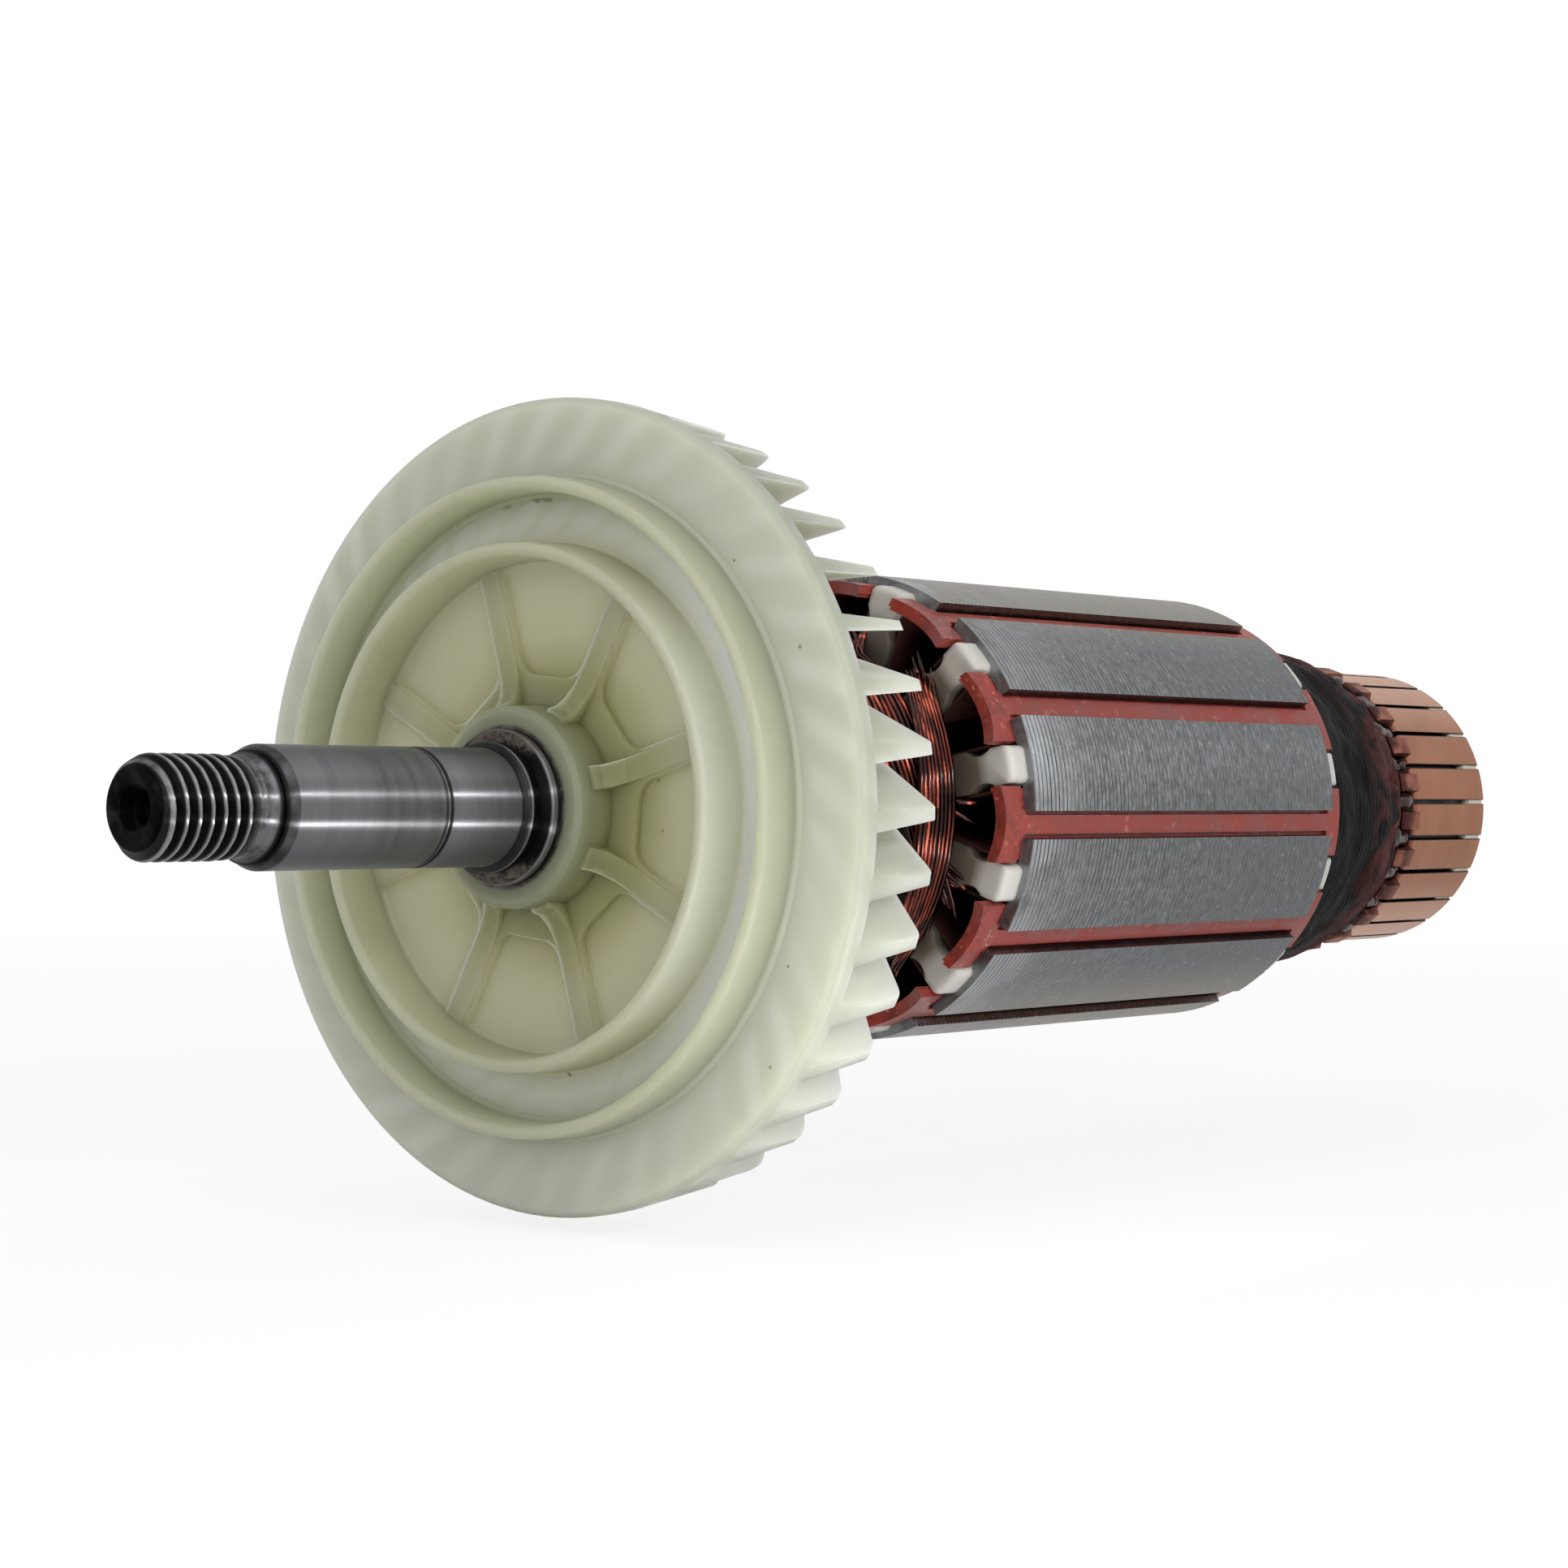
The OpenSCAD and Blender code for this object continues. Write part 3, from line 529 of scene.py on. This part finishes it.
def makeBinding():
    b = bindingSizes
    low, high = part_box("lead_binding")
    x0, x1 = low.x / mm, high.x / mm
    length = x1 - x0
    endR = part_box("lead_wires")[1].y / mm + 0.1
    fullR = b["fullRadius"]
    inner = [(0, fullR - 0.2), (1.5, fullR), (6, fullR - 0.9), (12, fullR - 2.4), (length - 5, endR + 0.9),
             (length - 1.5, endR), (length, endR)]

    def wallRadius(z):
        for (za, ra), (zb, rb) in zip(inner, inner[1:]):
            if za <= z <= zb:
                return ra + (rb - ra) * (z - za) / (zb - za)
        return inner[-1][1]

    profile = [(x0 + z, r) for z, r in inner]
    steps = int(length / b["step"])
    for i in range(steps, -1, -1):
        z = i * length / steps
        edge = min(z, length - z, b["roundEdge"]) / b["roundEdge"]
        profile.append((x0 + z, wallRadius(z) + b["wall"] - b["ridge"] - 0.35 * (1 - edge)))
    profile.append(profile[0])
    shell = turnOnLathe("cordBinding", profile, b["segments"], closeRing=True)
    for v in shell.data.vertices:
        x = v.co.x / mm
        r = math.hypot(v.co.y, v.co.z) / mm
        z = x - x0
        outer = r - wallRadius(z) - b["wall"] * 0.45
        if outer > 0 and 0.3 < z < length - 0.1:
            turn = math.atan2(v.co.z, v.co.y) / (2 * math.pi)
            strand = ((z / b["cord"] - turn) % 1) - 0.5
            lift = b["ridge"] * math.sqrt(max(1 - 4 * strand * strand, 0))
            lump = b["lump"] * noise.noise(Vector((x * 0.3, v.co.y / mm * 0.3, v.co.z / mm * 0.3)))
            new = r + lift + min(lump, b["lumpLimit"]) - 0.1
            v.co.y *= new / r
            v.co.z *= new / r
    smooth(shell, 60)
    namedPiece(shell, "cordBinding", ["lead_binding"])
    shell.data.materials.append(finishes["cordVarnish"])


# Varnish beads over the slots between the hooks

beadSizes = dict(count=24, phase=12.6, start=150.6, end=156.6, radius=18.5, width=1.3, seed=5)


def makeBeads():
    b = beadSizes
    rnd = random.Random(b["seed"])
    beads = []
    for i in range(b["count"]):
        turn = b["phase"] + i * 360 / b["count"]
        for k in range(4):
            along = b["start"] + (b["end"] - b["start"]) * (k + 0.5 + rnd.uniform(-0.3, 0.3)) / 4
            size = b["width"] * rnd.uniform(0.7, 1.15) * (1.1, 1.05, 0.9, 0.6)[k]
            radius = b["radius"] + rnd.uniform(-0.35, 0.25) - 0.2 * k
            place = polar(along, radius, turn + rnd.uniform(-1.2, 1.2))
            deselectAll()
            bpy.ops.mesh.primitive_ico_sphere_add(subdivisions=3, radius=size * mm, location=place)
            bead = bpy.context.object
            bead.scale = (rnd.uniform(1.1, 1.7), 0.85, 0.85)
            bpy.ops.object.transform_apply(location=True, rotation=True, scale=True)
            for v in bead.data.vertices:
                lump = noise.noise(v.co * 520) * 0.5 + noise.noise(v.co * 1300) * 0.2
                v.co += v.normal * lump * mm
            beads.append(bead)
    deselectAll()
    for bead in beads:
        bead.select_set(True)
    bpy.context.view_layer.objects.active = beads[0]
    bpy.ops.object.join()
    piece = bpy.context.object
    smooth(piece, 80)
    namedPiece(piece, "varnishBeads")
    piece.data.materials.append(finishes["bead"])


# Finishes

finishes = {}
sheets = dict(coarsePitch=0.757, finePitch=0.31)
bladeRoots = dict(count=40, phase=7.1, tangent=22.5)
# dirt specks on the fan's face: turn in degrees, distance from the axis and size in mm
specks = [(155.3, 37.4, 0.28), (219.5, 39.4, 0.25), (136.5, 35.3, 0.22), (262.0, 27.5, 0.3),
          (231.0, 22.7, 0.35), (76.0, 27.7, 0.3), (170.0, 16.0, 0.22), (188.0, 16.5, 0.2),
          (149.0, 30.2, 0.2), (205.0, 36.0, 0.22)]


def bands(stops, far=1.0):
    return [(place / far, srgb(*colour)) for place, colour in stops]


def axialGrain(s, amount):
    # fine rings left by the turning tool: the highlight runs along the axis
    s.body.inputs["Anisotropic"].default_value = amount
    s.body.inputs["Anisotropic Rotation"].default_value = 0.25
    tangent = s.add("ShaderNodeTangent", direction_type="RADIAL", axis="X")
    s.feed(s.body.inputs["Tangent"], tangent.outputs[0])


def makeSteel():
    s = Shader("journalSteel", Metallic=1.0)
    tip = shaftSizes["tip"]
    axialGrain(s, 1.0)
    grain = s.noise(60, 4, 0.6, (14, 1, 1))
    scuff = s.noise(170, 4, 0.65, (0.3, 1, 1))
    tint = s.mix(grain, srgb(98, 99, 102), srgb(132, 133, 136))
    # painted shade: the shaft is darker towards its top and bottom
    shadedTopAndBottom = s.range(s.apart(s.z, 0.3), 2.6, 5.6)
    tint = s.mix(s.times(shadedTopAndBottom, 0.55), tint, srgb(60, 61, 60))
    tint = s.mix(s.range(scuff, 0.58, 0.72, 0.0, 0.3), tint, srgb(84, 82, 80))
    tint = s.mix(s.times(s.range(s.x, -9.5, -3.0), 0.3), tint, srgb(60, 60, 62))
    # painted shade in the thread's roots, in the undercut and in the centre hole; soot on the tip's face
    along = s.math("DIVIDE", s.math("SUBTRACT", s.x, tip), shaftSizes["pitch"])
    phase = s.math("SUBTRACT", along, s.math("DIVIDE", s.turn, 2 * math.pi))
    phase = s.math("FRACT", s.math("ADD", phase, 10.0))
    rise = s.times(s.apart(phase, 0.5), 2.0)
    onThread = s.times(s.range(s.x, -32.9, -34.2), s.range(s.x, tip + 0.02, tip + 0.2))
    rootShade = s.times(s.range(rise, 0.84, 0.64), onThread)
    tint = s.mix(s.times(rootShade, 0.97), tint, srgb(14, 13, 12))
    # painted highlight: the thread's crests are paler
    crest = s.times(s.range(rise, 0.74, 0.9), onThread)
    tint = s.mix(s.times(crest, 0.6), tint, srgb(152, 154, 156))
    chamfer = s.times(s.range(s.x, tip + 1.0, tip + 0.5), s.range(s.x, tip + 0.02, tip + 0.2))
    tint = s.mix(s.times(chamfer, s.range(s.noise(500, 3), 0.35, 0.6, 0.3, 0.8)), tint, srgb(40, 38, 36))
    runOut = s.times(s.range(s.x, -34.0, -33.4), s.range(s.x, -31.4, -31.8))
    tint = s.mix(s.times(runOut, s.range(s.noise(240, 4, 0.7), 0.4, 0.6, 0.0, 0.8)), tint, srgb(40, 40, 40))
    face = s.range(s.x, tip + 0.3, tip + 0.1)
    # painted shade in the centre hole; the tip's face is sooty
    inHole = s.times(s.range(s.r, 2.4, 2.2), s.range(s.x, tip + 8.6, tip + 7.6))
    faceSootAndHoleShade = s.math("MAXIMUM", face, inHole)
    faceSootAndHoleShade = s.times(faceSootAndHoleShade, s.range(s.noise(500, 3), 0.3, 0.5, 0.93, 0.99))
    tint = s.mix(faceSootAndHoleShade, tint, srgb(8, 8, 7))
    # painted shade: the undercut is near black
    cut = s.range(s.math("ABSOLUTE", s.math("ADD", s.x, 31.1)), 0.6, 0.35)
    tint = s.mix(s.times(cut, 0.95), tint, srgb(8, 8, 8))
    bevel = s.times(s.range(s.x, -30.9, -30.7), s.range(s.x, -29.6, -29.9))
    tint = s.mix(s.times(bevel, s.range(s.noise(260, 3), 0.35, 0.6, 0.45, 0.85)), tint, srgb(34, 33, 33))
    for place in (-10.72, -10.08):
        mark = s.range(s.apart(s.x, place), 0.26, 0.12)
        tint = s.mix(s.times(mark, 0.85), tint, srgb(30, 27, 23))
    # the groove before the fan's seat is painted black as shade, between a thin and a broad bright ring
    step = s.times(s.range(s.x, -0.5, -0.3), s.range(s.x, 2.1, 1.9))
    tint = s.mix(s.times(step, s.range(s.x, 0.2, 0.8, 0.7, 0.97)), tint, srgb(10, 10, 10))
    for place, wide, pale in ((0.42, 0.18, 132), (2.25, 0.42, 122)):
        lit = s.range(s.apart(s.x, place), wide, wide * 0.5)
        tint = s.mix(s.times(lit, 0.8), tint, srgb(pale, pale, pale + 2))
    # painted shade: the seat inside the fan's bore is near black
    seat = s.times(s.range(s.x, 2.55, 2.75), s.range(s.x, 30.0, 29.0))
    tint = s.mix(s.times(seat, 0.9), tint, srgb(16, 14, 13))
    # crumbs of rust and swarf on the step, above and below
    crumbs = s.range(s.noise(900, 4, 0.8), 0.36, 0.62, 0.1, 0.95)
    crumbs = s.times(crumbs, s.times(s.range(s.x, 1.0, 1.6), s.range(s.x, 2.9, 2.5)))
    crumbs = s.times(crumbs, s.range(s.math("ABSOLUTE", s.z), 4.8, 6.6))
    tint = s.mix(crumbs, tint, srgb(92, 86, 78))
    s.colour(tint)
    worn = s.range(grain, 0.3, 0.7, 0.33, 0.39, soft=False)
    s.roughness(s.math("MAXIMUM", worn, s.times(faceSootAndHoleShade, 0.6)))
    s.bump(grain, 0.002)
    finishes["journalSteel"] = s.material


def makeNylon():
    s = Shader("naturalNylon", Subsurface_Weight=1.0, Subsurface_Scale=1.0, Specular_IOR_Level=0.3)
    s.body.inputs["Subsurface Radius"].default_value = (11.0 * mm, 11.0 * mm, 9.0 * mm)
    far = 43.0
    fromAxis = s.math("DIVIDE", s.r, far)
    # nylon tone by the distance from the axis, with painted light: palest between the rings, for the light
    # through the disc
    radialToneAndPaintedLight = [(0.0, (128, 127, 94)), (12.0, (140, 139, 102)), (14.5, (156, 154, 120)),
            (17.5, (168, 166, 136)), (24.0, (171, 170, 142)), (27.0, (192, 192, 168)),
            (29.5, (208, 209, 187)), (32.0, (180, 182, 160)), (34.4, (178, 182, 163)),
            (38.0, (177, 181, 164)), (41.3, (170, 174, 158)), (41.9, (142, 147, 132))]
    base = s.ramp(fromAxis, bands(radialToneAndPaintedLight, far))
    # painted shade: the thick nylon in front, in the rings, ribs and hub, is darker for the light it holds
    # back
    thick = [(0.0, (106, 109, 86)), (10.1, (108, 111, 88)), (10.4, (110, 114, 84)),
             (14.0, (138, 137, 100)), (20.0, (152, 150, 121)), (25.0, (152, 151, 125)),
             (28.0, (152, 154, 129)), (31.5, (151, 154, 131)), (33.2, (148, 151, 130)),
             (33.8, (136, 139, 120))]
    inFront = s.range(s.x, 8.75, 8.1)
    base = s.mix(inFront, base, s.ramp(fromAxis, bands(thick, far)))
    # painted shade: the rings' crests are darker
    crestOut = s.times(s.range(s.x, 5.4, 4.1), s.range(s.r, 31.8, 32.3))
    crestIn = s.times(s.range(s.x, 4.4, 3.0), s.range(s.apart(s.r, 26.2), 1.6, 1.1))
    base = s.mix(s.times(s.math("MAXIMUM", crestOut, crestIn), 0.75), base, srgb(140, 141, 119))
    # an olive tint round the hub's foot, stronger towards -Y
    halo = s.times(s.range(s.r, 21.0, 11.5), s.range(s.x, 3.2, 7.6))
    halo = s.times(halo, s.range(s.r, 9.9, 10.6))
    halo = s.times(halo, s.range(s.noise(45, 2), 0.3, 0.6, 0.6, 1.0))
    halo = s.times(halo, s.range(s.y, 8.0, -8.0, 0.35, 1.0))
    base = s.mix(s.times(halo, 0.9), base, srgb(120, 119, 70))
    cloud = s.noise(60, 3, 0.5)
    base = s.mix(s.times(cloud, 0.16), base, srgb(190, 190, 176))
    # painted light and shade: the blades' roots behind the disc show through it as paler bands, with darker
    # bands between them
    lean = s.math("ARCSINE", s.math("MINIMUM", s.math("DIVIDE", bladeRoots["tangent"], s.r), 1.0))
    perRadian = bladeRoots["count"] / (2 * math.pi)
    fromFirst = s.math("SUBTRACT", s.turn, math.radians(bladeRoots["phase"]))
    waver = s.times(s.math("SUBTRACT", s.noise(110, 2), 0.5), 0.35)
    around = s.times(s.math("ADD", fromFirst, lean), perRadian)
    saw = s.math("FRACT", s.math("ADD", s.math("ADD", around, waver), 100.0))
    gap = s.apart(saw, 0.5)
    onRim = s.times(s.range(s.r, 34.6, 36.4), s.range(s.r, 42.0, 40.4))
    between = s.times(s.range(s.r, 27.6, 28.6), s.range(s.r, 31.9, 31.0))
    bladeLightAndShadeZone = s.times(s.math("ADD", onRim, between, clamp=True), s.range(s.x, 10.8, 10.0))
    bladeLightAndShadeZone = s.times(bladeLightAndShadeZone, s.range(s.noise(70, 2), 0.35, 0.65, 0.2, 1.0))
    base = s.mix(s.times(s.times(s.range(gap, 0.16, 0.44), bladeLightAndShadeZone), 0.36), base, srgb(204, 207, 194))
    base = s.mix(s.times(s.times(s.range(gap, 0.25, 0.05), bladeLightAndShadeZone), 0.16), base, srgb(160, 165, 142))
    for turnDeg, r, size in specks:
        spot = polar(0, r, turnDeg) * 1000
        dy = s.math("SUBTRACT", s.y, spot.y)
        dz = s.math("SUBTRACT", s.z, spot.z)
        away = s.math("SQRT", s.math("ADD", s.times(dy, dy), s.times(dz, dz)))
        base = s.mix(s.times(s.range(away, size, size * 0.5), 0.7), base, srgb(92, 84, 52))
    # smudge in the annulus between the rings
    smudge = s.times(s.range(s.apart(s.r, 31.6), 0.35, 0.1),
                    s.range(s.apart(s.turn, math.radians(87)), 0.17, 0.1))
    smudge = s.times(smudge, s.range(s.noise(800, 3), 0.45, 0.6))
    base = s.mix(s.times(smudge, 0.6), base, srgb(110, 104, 84))
    # painted light: the annulus between the rings is paler towards -Y, where the rings' shade falls
    shade = s.times(s.range(s.y, -12.0, -26.0), s.range(s.apart(s.r, 29.0), 2.6, 1.2))
    base = s.mix(s.times(shade, 0.85), base, srgb(236, 237, 220))
    boreDirt = s.times(s.range(s.r, 8.6, 8.15), s.range(s.noise(600, 4, 0.7), 0.36, 0.6, 0.4, 1.0))
    base = s.mix(s.times(boreDirt, 0.9), base, srgb(36, 31, 27))
    s.colour(base)
    s.roughness(s.range(s.noise(180, 3), 0.3, 0.7, 0.42, 0.56))
    s.bump(s.noise(420, 3, 0.6), 0.012)
    s.bump(s.noise(45, 2), 0.1, 0.5)
    finishes["naturalNylon"] = s.material


def makeCoreSteel():
    s = Shader("laminatedSteel", Metallic=1.0)
    axialGrain(s, 0.7)
    coarseLines = s.math("SINE", s.times(s.x, 2 * math.pi / sheets["coarsePitch"]))
    wander = s.times(s.noise(40, 2), 5.0)
    along = s.times(s.x, 2 * math.pi / sheets["finePitch"])
    fineLines = s.math("SINE", s.math("ADD", along, wander))
    fine = s.noise(800, 4, 0.7, (2.0, 1, 1))
    tint = s.mix(s.range(fine, 0.32, 0.68), srgb(70, 73, 76), srgb(126, 128, 130))
    tint = s.mix(s.range(s.x, 78.0, 108.0, 0.0, 0.5), tint, srgb(96, 98, 101))
    warm = s.range(s.math("ABSOLUTE", s.z), 18.0, 24.0, 0.0, 0.65)
    tint = s.mix(warm, tint, s.mix(fine, srgb(112, 106, 92), srgb(158, 152, 138)))
    outside = s.range(s.r, 26.2, 26.5)
    # painted highlight: brighter in patches near the front
    front = s.range(s.x, 74.0, 59.0)
    frontHighlight = s.times(front, s.range(s.noise(120, 3), 0.35, 0.6))
    tint = s.mix(s.times(frontHighlight, 0.3), tint, srgb(176, 178, 180))
    frontGlint = s.times(s.range(s.x, 69.0, 60.0), s.range(s.noise(85, 2), 0.42, 0.6))
    tint = s.mix(s.times(frontGlint, 0.32), tint, srgb(206, 210, 214))
    fade = s.times(s.range(s.x, 98.0, 62.0, 0.3, 1.0), outside)
    cut = s.times(s.range(s.noise(55, 2, 0.5, (3, 1, 1)), 0.4, 0.62, 0.6, 1.0), fade)
    tint = s.mix(s.times(s.range(coarseLines, 0.1, 0.9), cut), tint, srgb(38, 40, 42))
    tint = s.mix(s.times(s.range(fineLines, 0.4, 1.0, 0.0, 0.6), fade), tint, srgb(186, 188, 190))
    tint = s.mix(s.range(s.noise(1500, 2), 0.6, 0.74, 0.0, 0.3), tint, srgb(176, 178, 180))
    endFace = s.range(s.x, 58.46, 58.42)
    mottled = s.mix(s.noise(300, 4, 0.7), srgb(92, 95, 98), srgb(168, 171, 174))
    tint = s.mix(endFace, tint, mottled)
    # painted shade: the teeth's sides beside the slots are darker
    toothSideShade = s.times(s.range(s.r, 26.0, 25.0, 0.0, 0.8), s.range(s.x, 58.42, 58.6))
    tint = s.mix(toothSideShade, tint, srgb(44, 40, 38))
    s.colour(tint)
    s.roughness(s.range(fine, 0.3, 0.75, 0.32, 0.5))
    s.bump(s.times(coarseLines, outside), 0.02)
    s.bump(fine, 0.03)
    finishes["laminatedSteel"] = s.material


def makeFibre():
    s = Shader("redFibre", Coat_Weight=0.12, Coat_Roughness=0.25, Specular_IOR_Level=0.35)
    patch = s.noise(240, 4, 0.6)
    base = s.mix(patch, srgb(98, 32, 26), srgb(158, 59, 47))
    base = s.mix(s.range(s.noise(700, 2), 0.6, 0.75, 0.0, 0.4), base, srgb(196, 120, 100))
    stain = s.times(s.range(s.noise(130, 3, 0.6), 0.55, 0.7), s.range(s.x, 56.5, 54.0))
    base = s.mix(s.times(stain, 0.6), base, srgb(58, 24, 20))
    flap = s.range(s.x, 58.4, 57.6)
    base = s.mix(s.times(flap, s.range(s.noise(420, 4, 0.7), 0.48, 0.62, 0.0, 0.55)), base, srgb(84, 34, 29))
    base = s.mix(s.times(flap, s.range(s.noise(640, 3, 0.7), 0.62, 0.7, 0.0, 0.6)), base, srgb(206, 140, 122))
    s.colour(base)
    s.roughness(s.range(patch, 0.3, 0.7, 0.34, 0.58))
    s.bump(s.noise(900, 3, 0.6), 0.08)
    s.bump(s.noise(200, 2), 0.15)
    finishes["redFibre"] = s.material


def makeWhiteMoulding():
    s = Shader("whiteMoulding", Subsurface_Weight=0.15, Subsurface_Scale=1.0)
    s.body.inputs["Subsurface Radius"].default_value = (1.0 * mm, 1.0 * mm, 0.8 * mm)
    # painted shade: darker towards the axis, between the windings
    stops = [(0.0, (24, 20, 17)), (0.62, (38, 31, 26)), (0.72, (54, 46, 39)), (0.79, (84, 74, 63)),
             (0.855, (182, 178, 171)), (1.0, (200, 198, 193))]
    base = s.ramp(s.math("DIVIDE", s.r, 27.0), bands(stops))
    base = s.mix(s.times(s.noise(300, 3), 0.2), base, srgb(172, 162, 144))
    s.colour(base)
    s.roughness(s.range(s.noise(200, 2), 0.3, 0.7, 0.3, 0.46))
    rounded = s.add("ShaderNodeBevel", samples=4)
    rounded.inputs["Radius"].default_value = 0.7 * mm
    s.feed(s.body.inputs["Normal"], rounded.outputs[0])
    s.bump(s.noise(500, 2), 0.02)
    finishes["whiteMoulding"] = s.material


def makeEnamel():
    s = Shader("enamel", Metallic=1.0, Coat_Weight=0.4, Coat_Roughness=0.08)
    patch = s.noise(90, 2, 0.5)
    base = s.mix(s.range(patch, 0.35, 0.65), srgb(62, 25, 21), srgb(112, 47, 33))
    base = s.mix(s.range(s.noise(260, 3, 0.6), 0.55, 0.75, 0.0, 0.5), base, srgb(50, 25, 24))
    # each wire has its own tone: the pattern is fine across the bundle and long round the axis
    across = s.add("ShaderNodeCombineXYZ", [s.x, s.r, s.times(s.turn, 3.0)]).outputs[0]
    wireTone = s.noise(1.15, 1.0, place=across)
    base = s.mix(s.range(wireTone, 0.54, 0.44, 0.0, 0.85), base, srgb(24, 11, 10))
    base = s.mix(s.range(wireTone, 0.6, 0.7, 0.0, 0.75), base, srgb(186, 90, 66))
    # painted shade: the wires are near black where they go into the slots
    shadeInSlot = s.range(s.x, 56.0, 57.6)
    base = s.mix(s.times(shadeInSlot, 0.96), base, srgb(10, 7, 7))
    s.colour(base)
    s.roughness(s.range(s.noise(400, 2), 0.3, 0.7, 0.16, 0.3))
    s.bump(s.noise(900, 2), 0.012)
    finishes["enamel"] = s.material


def makeCordVarnish():
    s = Shader("cordVarnish", Specular_IOR_Level=0.12)
    patch = s.noise(160, 4, 0.6)
    base = s.mix(s.range(patch, 0.45, 0.75), srgb(3, 3, 3), srgb(18, 12, 11))
    edge = s.times(s.range(s.x, 139.0, 149.0), s.range(s.noise(260, 4, 0.6), 0.4, 0.58))
    base = s.mix(s.times(edge, 0.8), base, srgb(82, 40, 36))
    flecks = s.times(s.range(s.x, 144.0, 150.0), s.range(s.noise(620, 3, 0.7), 0.62, 0.7))
    base = s.mix(s.times(flecks, 0.6), base, srgb(158, 134, 128))
    s.colour(base)
    s.roughness(s.range(patch, 0.3, 0.7, 0.6, 0.85))
    s.bump(s.noise(1100, 3, 0.6), 0.1)
    s.bump(s.noise(260, 3, 0.6), 0.5)
    finishes["cordVarnish"] = s.material


def makeCopper():
    s = Shader("turnedCopper", Metallic=1.0)
    axialGrain(s, 0.6)
    grain = s.noise(80, 4, 0.6, (24, 1, 1))
    patch = s.noise(140, 3)
    base = s.mix(patch, srgb(138, 92, 68), srgb(164, 114, 88))
    # painted light: the upper and lower bars are paler
    base = s.mix(s.range(s.math("ABSOLUTE", s.z), 9.0, 16.0, 0.0, 0.5), base, srgb(204, 164, 142))
    base = s.mix(s.range(s.x, 158.6, 156.8, 0.0, 0.6), base, srgb(132, 82, 76))
    varnish = s.times(s.range(s.x, 157.6, 153.6), s.range(s.noise(300, 3), 0.34, 0.56))
    base = s.mix(s.times(varnish, 0.9), base, srgb(54, 30, 27))
    # soot between the bars
    fromFirst = s.math("SUBTRACT", s.turn, math.radians(beadSizes["phase"]))
    around = s.times(fromFirst, beadSizes["count"] / (2 * math.pi))
    saw = s.math("FRACT", s.math("ADD", around, 48.0))
    fromGap = s.math("SUBTRACT", 0.5, s.apart(saw, 0.5))
    base = s.mix(s.range(fromGap, 0.09, 0.065, 0.0, 0.85), base, srgb(40, 24, 18))
    base = s.mix(s.range(s.r, 18.55, 18.2, 0.0, 0.9), base, srgb(16, 11, 9))
    s.colour(base)
    worn = s.range(grain, 0.3, 0.7, 0.3, 0.44, soft=False)
    s.roughness(s.math("MAXIMUM", worn, s.range(s.x, 158.6, 157.4, 0.0, 0.6)))
    s.bump(grain, 0.006)
    finishes["turnedCopper"] = s.material


def makeResin():
    s = Shader("paleResin")
    patch = s.noise(220, 4, 0.6)
    base = s.mix(patch, srgb(186, 174, 156), srgb(222, 216, 204))
    slot = s.times(s.range(s.x, 172.6, 172.2), s.range(s.r, 14.5, 15.0))
    base = s.mix(slot, base, srgb(16, 12, 10))
    s.colour(base)
    s.roughness(s.range(patch, 0.3, 0.7, 0.42, 0.6))
    s.bump(s.noise(800, 3), 0.03)
    finishes["paleResin"] = s.material


# name: dark and pale tone, roughness, depth of the grain in mm
plainFinishes = {
    # painted shade: the slot liners are a dark copy of the red fibre, so that the pockets read black
    "liner": ((40, 20, 17), (66, 32, 26), 0.6, 0.05),
    "sleeve": ((150, 140, 118), (190, 182, 162), 0.5, 0.03),
    "bush": ((150, 124, 76), (180, 152, 98), 0.4, 0.01),
    "bead": ((16, 9, 8), (58, 38, 34), 0.24, 0.1),
}


def makeFinishes():
    makeSteel()
    makeNylon()
    makeCoreSteel()
    makeFibre()
    makeWhiteMoulding()
    makeEnamel()
    makeCordVarnish()
    makeCopper()
    makeResin()
    for name, (dark, pale, rough, depth) in plainFinishes.items():
        s = Shader(name, Specular_IOR_Level=0.3)
        patch = s.noise(320, 4, 0.6)
        s.colour(s.mix(patch, srgb(*dark), srgb(*pale)))
        s.roughness(s.range(patch, 0.3, 0.7, rough - 0.06, rough + 0.1))
        s.bump(s.noise(800, 3), depth)
        finishes[name] = s.material
    print("finishes made:", len(finishes))


def dressNodes():
    plan = {"cooling_fan": "naturalNylon", "shaft_sleeve": "sleeve", "lamination_stack": "laminatedSteel",
            "front_insulator": "whiteMoulding", "rear_insulator": "whiteMoulding", "slot_liners": "liner",
            "lead_wires": "enamel", "commutator_moulding": "paleResin", "commutator_bush": "bush"}
    for name, node in nodes.items():
        kind = plan.get(name)
        if name.startswith("slot_wedge"):
            kind = "redFibre"
        if name.startswith("commutator_bar"):
            kind = "turnedCopper"
        if kind:
            for slot in node.material_slots:
                slot.material = finishes[kind]
    print("carried nodes dressed")


makeFinishes()
dressNodes()
makeShaft()
print("shaft turned and threaded")
makeCoils()
print("coils wound")
makeBinding()
print("binding wound")
makeBeads()
print("beads set")

deselectAll()
